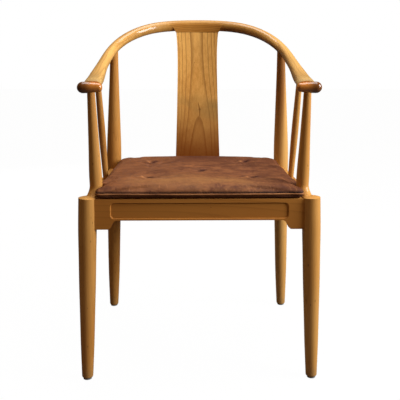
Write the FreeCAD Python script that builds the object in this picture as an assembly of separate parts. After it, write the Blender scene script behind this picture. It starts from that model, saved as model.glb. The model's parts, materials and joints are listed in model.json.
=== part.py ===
import FreeCAD, Part
import math
import os

from FreeCAD import Placement, Rotation, Vector

# Horseshoe back armchair. Lengths are in millimetres.
# The chair faces -Y. Z is up from the floor and X runs to the right seen from the front.
# Inside this file Y is counted from the front leg axes; export() moves the part
# so that the origin is at the middle of its footprint.

# Seat
SEAT_H = 417.0
FRONT_TOP_HALF_SPAN = 243.0
FRONT_SPLAY = 11.0
REAR_SPLAY = 1.2
FRONT_FOOT_HALF_SPAN = FRONT_TOP_HALF_SPAN + FRONT_SPLAY
REAR_FOOT_HALF_SPAN = FRONT_TOP_HALF_SPAN + REAR_SPLAY
REAR_FOOT_Y = 430.0

# Front leg
FRONT_FOOT_R = 12.6
FRONT_BELLY_R = 20.1
FRONT_TOP_R = 19.5
FRONT_DOME_H = 4.0
FRONT_LIP_H = 1.5
FOOT_ROUND = 4.5
# share of the height up to the seat, then share of the way from the foot radius to the belly
FRONT_LEG_SHARES = ((0.05, 0.08), (0.16, 0.30), (0.28, 0.46), (0.39, 0.59),
                    (0.56, 0.80), (0.72, 0.91), (0.82, 1.00), (0.92, 0.97))

# Arm post, in one piece with the front leg
POST_SET_IN = 15.5
POST_SET_BACK = 32.0
POST_BASE_R = 14.0
POST_HEAD_R = 8.0
POST_SWEEP_H = 24.0
POST_ROOT_R = 10.0
POST_ROOT_DROP = 3.0
SWEEP_SECTIONS = 6
# share of the height from the sweep to the arm, then share of the way from the head radius to the base
POST_SHARES = ((0.0, 1.0), (0.10, 1.0), (0.34, 0.70), (0.60, 0.40), (0.80, 0.18), (1.0, 0.0))
POST_ROOT_SHARE = 0.25

# Rear leg, one straight piece from the floor to the top rail
REAR_FOOT_R = 12.2
REAR_BELLY_R = 19.4
REAR_HEAD_R = 10.3
# share of its height, then share of the way from the foot radius to the belly
REAR_LEG_SHARES = ((0.03, 0.09), (0.148, 0.49), (0.27, 0.68), (0.41, 0.86), (0.54, 0.97), (0.63, 1.0))
# the same above the seat, from the head radius to the belly
REAR_POST_SHARES = ((0.705, 0.81), (0.817, 0.46), (0.925, 0.14))

# Top rail
RAIL_SET_IN = 8.5
RAIL_HALF_SPAN = FRONT_TOP_HALF_SPAN - RAIL_SET_IN
RAIL_BACK_Y = 507.0
RAIL_BACK_H = 805.5
ARM_H = 660.0
RAIL_W = 26.0
RAIL_BACK_DEPTH = 29.5
ARM_W = 37.0
ARM_DEPTH = 20.0
ROUND_POWER = 2.0
ARM_POWER = 2.7
SECTION_POINTS = 16
# shares of the half span, of the depth to the back, and of the rise from arm to back
RAIL_PATH_SHARES = ((0.0, 1.0, 1.0), (0.264, 0.987, 0.990), (0.537, 0.936, 0.933), (0.759, 0.848, 0.799),
                    (0.882, 0.758, 0.655), (0.951, 0.673, 0.517), (0.992, 0.554, 0.354), (1.0, 0.406, 0.220),
                    (0.998, 0.280, 0.117), (0.982, 0.148, 0.055), (0.968, 0.049, 0.030), (0.961, -0.012, -0.008))
# shares of the way from the rail's width to the arm's, and from the arm's depth to the back's
RAIL_SECTION_SHARES = ((0.0, 1.0), (0.0, 0.95), (0.0, 0.88), (0.0, 0.78), (0.0, 0.70), (0.0, 0.64),
                       (0.05, 0.63), (0.23, 0.58), (0.73, 0.42), (0.95, 0.21), (1.0, 0.05), (0.91, 0.0))

# Where the rear legs, the arm posts and the spindles meet the rail, in the same shares
REAR_HEAD_SHARES = (0.936, 0.6943, 0.536)
POST_HEAD_SHARES = (0.9915, 0.0394, 0.0)
SPINDLE_HEAD_SHARES = (1.004, 0.280, 0.117)

# Hand scroll, the rounded roll that the arm ends in
SCROLL_IN = 31.0
SCROLL_OUT = 21.5
SCROLL_FRONT = 12.8
SCROLL_DROP = 3.5
SCROLL_R = 12.0
SCROLL_NECK_R = 9.6
SCROLL_END_ROUND = 7.5
# share of the way between the rounded ends, then share of the way from the neck radius to the full one
SCROLL_SHARES = ((0.0, 0.0), (0.35, 0.52), (0.7, 0.9), (1.0, 1.0))

# Land on the rail that the splat meets
LAND_HALF_W = 61.0
LAND_TOP_HALF_W = 76.0
LAND_DROP = 19.0
LAND_PROUD = 0.6
LAND_FLARE_R = 9.0

# Splat
SPLAT_T = 12.0
SPLAT_FOOT_HALF_W = 61.0
SPLAT_WAIST_HALF_W = 55.4
SPLAT_HEAD_HALF_W = 59.5
SPLAT_HEAD_IN = 7.0
SPLAT_DISH = 6.0
# share of the height, share of the way back, share of the dish
SPLAT_CURVE_SHARES = ((0.0, 0.0, 0.0), (0.12, 0.075, 0.12), (0.27, 0.21, 0.3), (0.45, 0.42, 0.5),
                      (0.63, 0.64, 0.7), (0.80, 0.83, 0.86), (0.92, 0.94, 0.95), (1.0, 1.0, 1.0))
# share of the height, share of the way from the waist to the foot's or the head's width
SPLAT_WIDTH_SHARES = (1.0, 0.76, 0.48, 0.22, 0.03, 0.0, 0.36, 1.0)
SPLAT_HEAD_FROM = 6
SPLAT_TENON_T = 8.0
SPLAT_TENON_HALF_W = 48.0
SPLAT_TENON_L = 14.0

# Spindle between the side rail and the arm
SPINDLE_FOOT_Y = 215.0
SPINDLE_FOOT_IN = 2.0
SPINDLE_END_R = 6.6
SPINDLE_BELLY_R = 8.3
SPINDLE_SHARES = ((0.0, 0.15), (0.2, 0.5), (0.45, 1.0), (0.7, 0.66), (1.0, 0.0))
SPINDLE_TENON_R = 4.6
SPINDLE_TENON_L = 13.0

# Seat rails
RAIL_T = 22.0
SEAT_RAIL_H = 47.0
BRACKET_DROP = 20.0
BRACKET_L = 25.0
BRACKET_RUN = 17.0
SIDE_RAIL_INSET = 4.0
FIELD_TOP = 8.5
FIELD_BOTTOM = 3.6
FIELD_END_IN = 50.0
FIELD_DEPTH = 2.2
FIELD_CORNER_R = 8.5
FIELD_SLOPE = 1.4

# Joinery
TENON_T = 9.0
TENON_H = 30.0
TENON_BELOW_TOP = 9.0
TENON_PAST_AXIS = 8.0
TENON_SHORT_OF_AXIS = 5.5
HEAD_TENON_L = 13.0
FRONT_HEAD_TENON_R = 5.5
REAR_HEAD_TENON_R = 7.0
GLUE_GAP = 0.12
TENON_END_GAP = 1.0
OVERRUN = 40.0

# Seat panel
PANEL_T = 9.0
PANEL_REBATE = 4.0
PANEL_GAP = 0.6
PANEL_LEG_GAP = 5.0
VENT_R = 9.0
VENT_COUNT_X = 3
VENT_COUNT_Y = 3
VENT_PITCH_X = 105.0
VENT_PITCH_Y = 95.0

# Corner blocks and their screws
BLOCK_LEG = 62.0
BLOCK_NOSE = 16.0
BLOCK_H = 30.0
SCREW_R = 2.0
SCREW_HEAD_R = 4.0
SCREW_HEAD_H = 2.6
SCREW_GAP = 0.1
SCREW_BITE = 12.0
PANEL_SCREW_BITE = 6.5
SCREW_ALONG = 34.0
SCREW_DROP = 15.0
BLOCK_SCREW_L = 30.0

# Foot glides
GLIDE_R = 9.5
GLIDE_T = 3.0
NAIL_R = 1.3
NAIL_L = 16.0
NAIL_HEAD_R = 3.2
NAIL_HEAD_H = 0.8
NAIL_RECESS = 0.8

# Loose cushion
CUSHION_FRONT = 15.0
CUSHION_SPLAT_GAP = 3.6
CUSHION_FRONT_IN = 15.5
CUSHION_REAR_IN = 14.3
CUSHION_EDGE_T = 26.0
CUSHION_CROWN = 12.0
CUSHION_REAR_LIFT = 2.5
CUSHION_SEAM_SHARE = 0.55
CUSHION_LIFT_GAP = 0.3
CUSHION_NOTCH_GAP = 2.0
NOTCH_LEAN_SHARE = 0.35
NOTCH_SWEEP_SHARE = 0.42
CUSHION_TUCK = 3.0
LEATHER_T = 1.6
CORE_GAP = 0.2
TUFT_SIDE_SHARE = 0.541
TUFT_FRONT_SHARE = 0.246
TUFT_REAR_SHARE = 0.7665
TUFT_DEPTH = 7.0
TUFT_HALF_W = 26.0
TIE_R = 0.9
TIE_KNOT_R = 2.6
TIE_KNOT_H = 1.0
TIE_GAP = 0.15
# share of the depth, share of the width there, share of the edge that is drawn up from below,
# share of the edge that is left, share of the crown
CUSHION_SHARES = ((0.0, 0.955, 0.26, 0.28, 0.0), (0.007, 0.985, 0.10, 0.54, 0.06), (0.024, 1.0, 0.0, 0.78, 0.16),
                  (0.06, 1.0, 0.0, 0.92, 0.32), (0.12, 1.0, 0.0, 0.99, 0.56), (0.25, 0.998, 0.0, 1.0, 0.86),
                  (0.50, 0.996, 0.0, 1.0, 1.0), (0.75, 0.998, 0.0, 1.0, 0.86), (0.90, 0.995, 0.0, 1.0, 0.50),
                  (0.955, 0.967, 0.0, 1.0, 0.26), (0.985, 0.930, 0.10, 0.80, 0.10), (1.0, 0.875, 0.30, 0.40, 0.0))

FRONT_Y = -SCROLL_FRONT - SCROLL_R
BACK_Y = RAIL_BACK_Y + RAIL_W / 2
MIDDLE_Y = (FRONT_Y + BACK_Y) / 2
RAIL_BASE_H = SEAT_H - SEAT_RAIL_H
TENON_MID_H = SEAT_H - TENON_BELOW_TOP - TENON_H / 2
LAND_H = RAIL_BACK_H - LAND_DROP
UP = Vector(0, 0, 1)


def mix(a, b, share):
    return a + (b - a) * share


def box(x0, x1, y0, y1, z0, z1):
    return Part.makeBox(x1 - x0, y1 - y0, z1 - z0, Vector(x0, y0, z0))


def mirrored(shape):
    return shape.mirror(Vector(0, 0, 0), Vector(1, 0, 0))


def line_at(foot, head, height):
    """The point of a leg's axis at a height."""
    share = (height - foot.z) / (head.z - foot.z)
    return foot + (head - foot) * share


def aligned(shape, start, end):
    """A shape drawn along Z from the origin, moved onto the line from start to end."""
    shape.Placement = Placement(start, Rotation(UP, end - start))
    return shape


def rod(start, end, radius):
    return Part.makeCylinder(radius, (end - start).Length, start, end - start)


def spline(points):
    curve = Part.BSplineCurve()
    curve.interpolate(points)
    return curve.toShape()


def turned(start, end, radii, foot_round, head_edges):
    """A turned piece: radii are (distance along, radius), and head_edges close it to the axis."""
    first = radii[0][1]
    slack = foot_round * (1 - math.sqrt(0.5))
    rim = Vector(first - foot_round, 0, 0)
    side = [Vector(radius, 0, along) for along, radius in radii]
    bend = Vector(first - slack, 0, slack)
    edges = [Part.makeLine(Vector(0, 0, 0), rim)]
    edges.append(Part.Arc(rim, bend, side[0]).toShape())
    edges.append(spline(side))
    edges.extend(head_edges)
    edges.append(Part.makeLine(edges[-1].Vertexes[-1].Point, Vector(0, 0, 0)))
    face = Part.Face(Part.Wire(edges))
    solid = face.revolve(Vector(0, 0, 0), UP, 360)
    return aligned(solid, start, end)


def spun(start, end, radii):
    """A turned piece with flat ends: radii are (distance along, radius)."""
    side = [Vector(radius, 0, along) for along, radius in radii]
    tip = Vector(0, 0, side[-1].z)
    edges = [Part.makeLine(Vector(0, 0, 0), side[0]), spline(side)]
    edges.append(Part.makeLine(side[-1], tip))
    edges.append(Part.makeLine(tip, Vector(0, 0, 0)))
    solid = Part.Face(Part.Wire(edges)).revolve(Vector(0, 0, 0), UP, 360)
    return aligned(solid, start, end)


def solid_of(shape):
    """The single solid of a boolean result."""
    return shape.removeSplitter().Solids[0]


def on_rail(x, y, z):
    """A point of the rail's middle line, from its shares of the span, the depth and the rise."""
    return Vector(x * RAIL_HALF_SPAN, y * RAIL_BACK_Y, mix(ARM_H, RAIL_BACK_H, z))


FRONT_FOOT = Vector(FRONT_FOOT_HALF_SPAN, 0, GLIDE_T)
FRONT_HEAD = Vector(FRONT_TOP_HALF_SPAN, 0, SEAT_H)
REAR_FOOT = Vector(REAR_FOOT_HALF_SPAN, REAR_FOOT_Y, GLIDE_T)
REAR_HEAD = on_rail(*REAR_HEAD_SHARES)
POST_BASE = Vector(FRONT_TOP_HALF_SPAN - POST_SET_IN, POST_SET_BACK, SEAT_H)
POST_HEAD = on_rail(*POST_HEAD_SHARES)
REAR_AT_SEAT = line_at(REAR_FOOT, REAR_HEAD, SEAT_H)
SPLAT_FOOT_Y = line_at(REAR_FOOT, REAR_HEAD, TENON_MID_H).y
SPLAT_HEAD_Y = RAIL_BACK_Y - SPLAT_HEAD_IN
CUSHION_FRONT_HALF_W = FRONT_TOP_HALF_SPAN - CUSHION_FRONT_IN
CUSHION_REAR_HALF_W = REAR_AT_SEAT.x - CUSHION_REAR_IN
CUSHION_REAR_Y = SPLAT_FOOT_Y - SPLAT_T / 2 - CUSHION_SPLAT_GAP
CUSHION_DEPTH = CUSHION_REAR_Y + CUSHION_FRONT


def rail_section(centre, tangent, width, depth, power):
    """A closed rounded section across the rail's path."""
    side = tangent.cross(UP)
    side.normalize()
    rise = side.cross(tangent)
    rise.normalize()
    points = []
    for number in range(SECTION_POINTS):
        angle = 2 * math.pi * number / SECTION_POINTS
        across = math.copysign(abs(math.cos(angle)) ** (2 / power), math.cos(angle))
        over = math.copysign(abs(math.sin(angle)) ** (2 / power), math.sin(angle))
        points.append(centre + side * (across * width / 2) + rise * (over * depth / 2))
    curve = Part.BSplineCurve()
    curve.interpolate(points, PeriodicFlag=True)
    return Part.Wire([curve.toShape()])


def rail_stations():
    """Path points and section sizes from the right arm over the back to the left arm."""
    half = []
    for (x, y, z), (swell, deep) in zip(RAIL_PATH_SHARES, RAIL_SECTION_SHARES):
        place = on_rail(x, y, z)
        width = mix(RAIL_W, ARM_W, swell)
        depth = mix(ARM_DEPTH, RAIL_BACK_DEPTH, deep)
        half.append((place, width, depth, mix(ROUND_POWER, ARM_POWER, swell)))
    other = [(Vector(-place.x, place.y, place.z), width, depth, power) for place, width, depth, power in half[1:]]
    return list(reversed(half)) + other


def scroll():
    """The right hand scroll, turned about a line along X."""
    length = SCROLL_OUT + SCROLL_IN
    slack = SCROLL_END_ROUND * (1 - math.sqrt(0.5))
    rim = Vector(SCROLL_NECK_R - SCROLL_END_ROUND, 0, 0)
    slant = SCROLL_R * math.sqrt(0.5)
    tip = Vector(0, 0, length)
    side = []
    for along, swell in SCROLL_SHARES:
        radius = mix(SCROLL_NECK_R, SCROLL_R, swell)
        side.append(Vector(radius, 0, mix(SCROLL_END_ROUND, length - SCROLL_R, along)))
    edges = [Part.makeLine(Vector(0, 0, 0), rim)]
    edges.append(Part.Arc(rim, Vector(SCROLL_NECK_R - slack, 0, slack), side[0]).toShape())
    edges.append(spline(side))
    edges.append(Part.Arc(side[-1], Vector(slant, 0, length - SCROLL_R + slant), tip).toShape())
    edges.append(Part.makeLine(tip, Vector(0, 0, 0)))
    solid = Part.Face(Part.Wire(edges)).revolve(Vector(0, 0, 0), UP, 360)
    inner = Vector(RAIL_HALF_SPAN - SCROLL_IN, -SCROLL_FRONT, ARM_H - SCROLL_DROP)
    return aligned(solid, inner, inner + Vector(length, 0, 0))


def splat_land():
    """The flat land under the middle of the rail, flared at its ends, bent as the rail is."""
    second = RAIL_PATH_SHARES[1]
    run = second[0] * RAIL_HALF_SPAN
    sag = (1 - second[1]) * RAIL_BACK_Y
    bend_r = (run * run + sag * sag) / (2 * sag)
    centre = Vector(0, RAIL_BACK_Y - bend_r, LAND_H)
    depth = RAIL_BACK_H - LAND_H
    outer = Part.makeCylinder(bend_r + RAIL_W / 4, depth, centre)
    inner = Part.makeCylinder(bend_r - RAIL_W / 2 - LAND_PROUD, depth, centre)
    low = Vector(LAND_HALF_W, 0, LAND_H)
    high = Vector(LAND_TOP_HALF_W, 0, RAIL_BACK_H)
    bow = Vector(mix(LAND_HALF_W, LAND_TOP_HALF_W, 0.36), 0, mix(LAND_H, RAIL_BACK_H, 0.58))
    low_left, high_left, bow_left = (Vector(-p.x, p.y, p.z) for p in (low, high, bow))
    edges = [Part.makeLine(low_left, low), Part.Arc(low, bow, high).toShape()]
    edges.append(Part.makeLine(high, high_left))
    edges.append(Part.Arc(high_left, bow_left, low_left).toShape())
    front = Part.Face(Part.Wire(edges)).extrude(Vector(0, RAIL_BACK_Y + RAIL_W, 0))
    return outer.cut(inner).common(front)


def top_rail_blank():
    stations = rail_stations()
    curve = Part.BSplineCurve()
    curve.interpolate([place for place, width, depth, power in stations])
    wires = []
    for place, width, depth, power in stations:
        tangent = curve.tangent(curve.parameter(place))[0]
        wires.append(rail_section(place, tangent, width, depth, power))
    blank = Part.makeLoft(wires, True, False)
    hook = scroll()
    blank = blank.fuse([hook, mirrored(hook), splat_land()])
    return solid_of(blank)


def front_leg_blank():
    """The right front leg with its arm post, up into the arm."""
    length = (FRONT_HEAD - FRONT_FOOT).Length
    radii = [(FOOT_ROUND, FRONT_FOOT_R)]
    radii += [(along * length, mix(FRONT_FOOT_R, FRONT_BELLY_R, swell)) for along, swell in FRONT_LEG_SHARES]
    radii.append((length + FRONT_LIP_H, FRONT_TOP_R))
    rim = Vector(FRONT_TOP_R, 0, length + FRONT_LIP_H)
    crown = Vector(0, 0, length + FRONT_DOME_H)
    rise = FRONT_DOME_H - FRONT_LIP_H
    shoulder = Vector(FRONT_TOP_R * math.sqrt(0.5), 0, length + FRONT_LIP_H + rise * math.sqrt(0.5))
    dome = [spline([rim, shoulder, crown])]
    leg = turned(FRONT_FOOT, FRONT_HEAD, radii, FOOT_ROUND, dome)
    return solid_of(leg.fuse([post_sweep(), arm_post()]))


def post_sweep():
    """The carved sweep that carries the post from the leg's top out to its own line."""
    wires = []
    way = POST_HEAD - POST_BASE
    lean = Vector(way.x, way.y, way.z)
    lean.normalize()
    for number in range(SWEEP_SECTIONS):
        share = number / (SWEEP_SECTIONS - 1)
        ease = math.sin(share * math.pi / 2)
        height = mix(SEAT_H - POST_ROOT_DROP, SEAT_H + POST_SWEEP_H, share)
        on_leg = Vector(FRONT_HEAD.x, FRONT_HEAD.y, height)
        on_post = POST_BASE + way * ((height - POST_BASE.z) / way.z)
        centre = on_leg + (on_post - on_leg) * mix(POST_ROOT_SHARE, 1, ease)
        normal = UP + (lean - UP) * share
        wires.append(Part.Wire([Part.makeCircle(mix(POST_ROOT_R, POST_BASE_R, ease), centre, normal)]))
    return Part.makeLoft(wires, True, False)


def arm_post():
    """The straight turned part of the post, from where the sweep ends."""
    start = line_at(POST_BASE, POST_HEAD, SEAT_H + POST_SWEEP_H)
    length = (POST_HEAD - start).Length
    radii = [(along * length, mix(POST_HEAD_R, POST_BASE_R, swell)) for along, swell in POST_SHARES]
    return spun(start, POST_HEAD, radii)


def rear_leg_blank():
    length = (REAR_HEAD - REAR_FOOT).Length
    radii = [(FOOT_ROUND, REAR_FOOT_R)]
    radii += [(along * length, mix(REAR_FOOT_R, REAR_BELLY_R, swell)) for along, swell in REAR_LEG_SHARES]
    radii += [(along * length, mix(REAR_HEAD_R, REAR_BELLY_R, swell)) for along, swell in REAR_POST_SHARES]
    radii.append((length, REAR_HEAD_R))
    cap = [Part.makeLine(Vector(REAR_HEAD_R, 0, length), Vector(0, 0, length))]
    return turned(REAR_FOOT, REAR_HEAD, radii, FOOT_ROUND, cap)


def side_line():
    """Ends of the side rail's middle line, at the leg axes."""
    height = TENON_MID_H
    front = line_at(FRONT_FOOT, FRONT_HEAD, height)
    rear = line_at(REAR_FOOT, REAR_HEAD, height)
    inset = Vector(SIDE_RAIL_INSET, 0, 0)
    return front - inset, rear - inset


def bracketed_board(half_length):
    """A seat rail from end to end along X, its outer face towards -Y, before it meets the legs."""
    top = Vector(half_length, 0, SEAT_H)
    low = Vector(half_length, 0, RAIL_BASE_H - BRACKET_DROP)
    toe = Vector(half_length - BRACKET_L - FRONT_TOP_R, 0, low.z)
    arch = Vector(toe.x - BRACKET_RUN, 0, RAIL_BASE_H)
    middle = (toe + arch) / 2
    heel = Vector(mix(toe.x, middle.x, 0.62), 0, mix(toe.z, middle.z, 0.42))
    brow = Vector(mix(middle.x, arch.x, 0.38), 0, mix(middle.z, arch.z, 0.58))

    def flip(p):
        return Vector(-p.x, p.y, p.z)

    edges = [Part.makeLine(top, low), Part.makeLine(low, toe)]
    edges.append(Part.Arc(toe, heel, middle).toShape())
    edges.append(Part.Arc(middle, brow, arch).toShape())
    edges.append(Part.makeLine(arch, flip(arch)))
    edges.append(Part.Arc(flip(arch), flip(brow), flip(middle)).toShape())
    edges.append(Part.Arc(flip(middle), flip(heel), flip(toe)).toShape())
    edges.append(Part.makeLine(flip(toe), flip(low)))
    edges.append(Part.makeLine(flip(low), flip(top)))
    edges.append(Part.makeLine(flip(top), top))
    board = Part.Face(Part.Wire(edges)).extrude(Vector(0, RAIL_T, 0))
    board.translate(Vector(0, -RAIL_T / 2, 0))
    return board.cut(sunk_field(half_length - FIELD_END_IN))


def sunk_field(half_length):
    """The shallow rounded field in the rail's outer face, its wall sloping inwards."""
    wires = []
    for depth, inset in ((-FIELD_SLOPE, -FIELD_SLOPE), (FIELD_DEPTH, FIELD_SLOPE)):
        right = half_length - inset
        low = RAIL_BASE_H + FIELD_BOTTOM + inset
        high = SEAT_H - FIELD_TOP - inset
        radius = FIELD_CORNER_R - inset
        wires.append(rounded_frame(-right, right, low, high, radius, depth - RAIL_T / 2))
    return Part.makeLoft(wires, True, True)


def rounded_frame(x0, x1, z0, z1, radius, y):
    """A closed rounded rectangle in a plane across Y."""
    slack = radius * (1 - math.sqrt(0.5))
    corners = ((x1, z0, -1, 1), (x1, z1, -1, -1), (x0, z1, 1, -1), (x0, z0, 1, 1))
    edges = []
    last = None
    first = None
    for number, (x, z, left, up) in enumerate(corners):
        on_side = Vector(x, y, z + up * radius)
        on_level = Vector(x + left * radius, y, z)
        bend = Vector(x + left * slack, y, z + up * slack)
        start, end = (on_level, on_side) if number % 2 == 0 else (on_side, on_level)
        if last is not None:
            edges.append(Part.makeLine(last, start))
        else:
            first = start
        edges.append(Part.Arc(start, bend, end).toShape())
        last = end
    edges.append(Part.makeLine(last, first))
    return Part.Wire(edges)


def front_rail_blank():
    return bracketed_board(FRONT_TOP_HALF_SPAN)


def rear_rail_blank():
    front, rear = side_line()
    board = bracketed_board(rear.x + SIDE_RAIL_INSET)
    board.rotate(Vector(0, 0, 0), UP, 180)
    board.translate(Vector(0, rear.y, 0))
    return board


def side_rail_blank():
    """The right side rail, between the front and the rear one."""
    front, rear = side_line()
    along = rear - front
    board = bracketed_board(along.Length / 2)
    turn = math.degrees(math.atan2(along.y, along.x))
    board.rotate(Vector(0, 0, 0), UP, turn)
    middle = (front + rear) / 2
    board.translate(Vector(middle.x, middle.y, 0))
    inset = RAIL_T / 2 + GLUE_GAP
    between = box(0, front.x + OVERRUN, front.y + inset, rear.y - inset, 0, SEAT_H)
    return board.common(between)


def tenon_box(length, gap):
    """A tenon along +X from the origin, with the same gap all round when it is a mortise."""
    low = TENON_MID_H - TENON_H / 2 - gap
    high = TENON_MID_H + TENON_H / 2 + gap
    return box(0, length, -TENON_T / 2 - gap, TENON_T / 2 + gap, low, high)


def cross_tenon(y, axis_x, gap):
    """The tenon of the front or rear rail in the right leg."""
    start = axis_x - FRONT_TOP_R - TENON_T
    shape = tenon_box(axis_x + TENON_PAST_AXIS + gap - start, gap)
    shape.translate(Vector(start, y, 0))
    return shape


def side_tenons(gap):
    """The two tenons of the right side rail."""
    front, rear = side_line()
    along = rear - front
    turn = math.degrees(math.atan2(along.y, along.x))
    reach = FRONT_TOP_R + TENON_T
    shapes = []
    for leg, heading, way in ((front, turn, 1), (rear, turn + 180, -1)):
        shape = tenon_box(reach - TENON_SHORT_OF_AXIS + gap, gap)
        shape.translate(Vector(TENON_SHORT_OF_AXIS - gap, 0, 0))
        shape.rotate(Vector(0, 0, 0), UP, heading)
        shape.translate(Vector(leg.x, leg.y, 0))
        shapes.append(shape)
    return shapes


def seat_outline(grow):
    """The seat panel's four corners, grown outwards by a gap."""
    front, rear = side_line()
    reach = RAIL_T / 2 - PANEL_REBATE - grow
    corners = [Vector(-(front.x - reach), front.y + reach, 0), Vector(front.x - reach, front.y + reach, 0)]
    corners += [Vector(rear.x - reach, rear.y - reach, 0), Vector(-(rear.x - reach), rear.y - reach, 0)]
    return corners


def panel_blank(grow, top):
    base = SEAT_H - PANEL_T
    corners = [Vector(p.x, p.y, base) for p in seat_outline(grow)]
    face = Part.Face(Part.makePolygon(corners + corners[:1]))
    return face.extrude(Vector(0, 0, top - base))


def leg_collar(gap):
    """Cylinders round all four legs at the seat, larger than the legs by a gap."""
    front = line_at(FRONT_FOOT, FRONT_HEAD, TENON_MID_H)
    rear = line_at(REAR_FOOT, REAR_HEAD, TENON_MID_H)
    tall = SEAT_H - RAIL_BASE_H + OVERRUN
    shapes = []
    for axis in (front, rear):
        shape = Part.makeCylinder(FRONT_BELLY_R + gap, tall, Vector(axis.x, axis.y, RAIL_BASE_H))
        shapes += [shape, mirrored(shape)]
    return shapes


def block_corners():
    """The inner corner of each joint on the right side, with the way into the seat along Y."""
    front, rear = side_line()
    half = RAIL_T / 2
    slope = (front.x - rear.x) / (rear.y - front.y)
    low = Vector(front.x - half - slope * half, half, 0)
    high = Vector(rear.x - half + slope * half, rear.y - half, 0)
    return ((low, 1), (high, -1))


def corner_block(corner, way):
    """A glued corner block, its long face across the corner."""
    top = SEAT_H - PANEL_T - GLUE_GAP
    inner = corner + Vector(-GLUE_GAP, GLUE_GAP * way, 0)
    front, rear = side_line()
    slope = (front.x - rear.x) / (rear.y - front.y)
    leg_x = Vector(-BLOCK_LEG, 0, 0)
    leg_y = Vector(-slope * BLOCK_LEG * way, BLOCK_LEG * way, 0)
    nose_x = Vector(0, BLOCK_NOSE * way, 0)
    nose_y = Vector(-BLOCK_NOSE, 0, 0)
    points = [inner, inner + leg_x, inner + leg_x + nose_x, inner + leg_y + nose_y, inner + leg_y]
    points = [Vector(p.x, p.y, top - BLOCK_H) for p in points]
    face = Part.Face(Part.makePolygon(points + points[:1]))
    return face.extrude(Vector(0, 0, BLOCK_H)).cut(leg_collar(PANEL_GAP)[0:4:2])


def screw(head, tip, gap):
    """A screw from the middle of its head's top to its tip, or its hole when there is a gap."""
    way = (tip - head)
    way.normalize()
    shank = rod(head, tip + way * gap, SCREW_R + gap)
    cap = rod(head, head + way * (SCREW_HEAD_H + gap), SCREW_HEAD_R + gap)
    return shank.fuse(cap).removeSplitter()


def block_screw_lines():
    """Head and tip of the screws that hold the right side's blocks to the rails."""
    lines = []
    height = SEAT_H - PANEL_T - SCREW_DROP
    for corner, way in block_corners():
        into_cross = Vector(0, -way, 0)
        foot = Vector(corner.x - SCREW_ALONG, corner.y, height)
        lines.append((foot - into_cross * (BLOCK_SCREW_L - SCREW_BITE), foot + into_cross * SCREW_BITE))
        into_side = Vector(1, 0, 0)
        foot = Vector(corner.x, corner.y + SCREW_ALONG * way, height)
        lines.append((foot - into_side * (BLOCK_SCREW_L - SCREW_BITE), foot + into_side * SCREW_BITE))
    return lines


def panel_screw_lines():
    """Head and tip of the screws that go up through the blocks into the panel."""
    lines = []
    low = SEAT_H - PANEL_T - BLOCK_H - GLUE_GAP
    for corner, way in block_corners():
        reach = BLOCK_NOSE + SCREW_HEAD_R
        spot = Vector(corner.x - reach, corner.y + reach * way, 0)
        head = Vector(spot.x, spot.y, low + SCREW_HEAD_H / 2)
        lines.append((head, Vector(spot.x, spot.y, SEAT_H - PANEL_T + PANEL_SCREW_BITE)))
    return lines


def spindle_ends():
    front, rear = side_line()
    foot = line_along(front, rear, SPINDLE_FOOT_Y)
    foot = Vector(foot.x - SPINDLE_FOOT_IN, foot.y, SEAT_H)
    return foot, on_rail(*SPINDLE_HEAD_SHARES)


def line_along(start, end, y):
    share = (y - start.y) / (end.y - start.y)
    return start + (end - start) * share


def spindle_blank():
    """The right spindle, its foot cut level with the seat."""
    foot, head = spindle_ends()
    way = head - foot
    way.normalize()
    low = foot - way * SPINDLE_END_R
    length = (head - low).Length
    radii = [(along * length, mix(SPINDLE_END_R, SPINDLE_BELLY_R, swell)) for along, swell in SPINDLE_SHARES]
    beyond = OVERRUN + SPINDLE_END_R
    under = box(foot.x - beyond, foot.x + beyond, foot.y - beyond, foot.y + beyond, SEAT_H - beyond, SEAT_H)
    return spun(low, head, radii).cut(under)


def splat_blank():
    wires = []
    waist = SPLAT_WAIST_HALF_W
    for number, (up, back, dish) in enumerate(SPLAT_CURVE_SHARES):
        height = mix(SEAT_H, LAND_H - GLUE_GAP, up)
        end = SPLAT_HEAD_HALF_W if number >= SPLAT_HEAD_FROM else SPLAT_FOOT_HALF_W
        half = mix(waist, end, SPLAT_WIDTH_SHARES[number])
        y = mix(SPLAT_FOOT_Y, SPLAT_HEAD_Y, back)
        sag = max(dish, 0.02) * SPLAT_DISH
        wires.append(splat_section(half, y, sag, height))
    return Part.makeLoft(wires, True, False)


def splat_section(half, y, sag, height):
    """Front arc, end, back arc and end of a dished board, seen from above."""
    front_mid = Vector(0, y - SPLAT_T / 2, height)
    back_mid = Vector(0, y + SPLAT_T / 2, height)
    front_end = Vector(half, front_mid.y - sag, height)
    back_end = Vector(half, back_mid.y - sag, height)
    front_left = Vector(-half, front_end.y, height)
    back_left = Vector(-half, back_end.y, height)
    edges = [Part.Arc(front_left, front_mid, front_end).toShape(), Part.makeLine(front_end, back_end)]
    edges.append(Part.Arc(back_end, back_mid, back_left).toShape())
    edges.append(Part.makeLine(back_left, front_left))
    return Part.Wire(edges)


def splat_tenons(gap):
    """The splat's two tenons, or their mortises when there is a gap."""
    half = SPLAT_TENON_HALF_W + gap
    thick = SPLAT_TENON_T / 2 + gap
    end = TENON_END_GAP if gap else 0
    foot = box(-half, half, SPLAT_FOOT_Y - thick, SPLAT_FOOT_Y + thick, SEAT_H - SPLAT_TENON_L - end, SEAT_H + SPLAT_T)
    head_y = SPLAT_HEAD_Y - SPLAT_DISH / 4
    top = LAND_H + SPLAT_TENON_L + end
    head = box(-half, half, head_y - thick, head_y + thick, LAND_H - SPLAT_T, top)
    return foot, head


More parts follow.
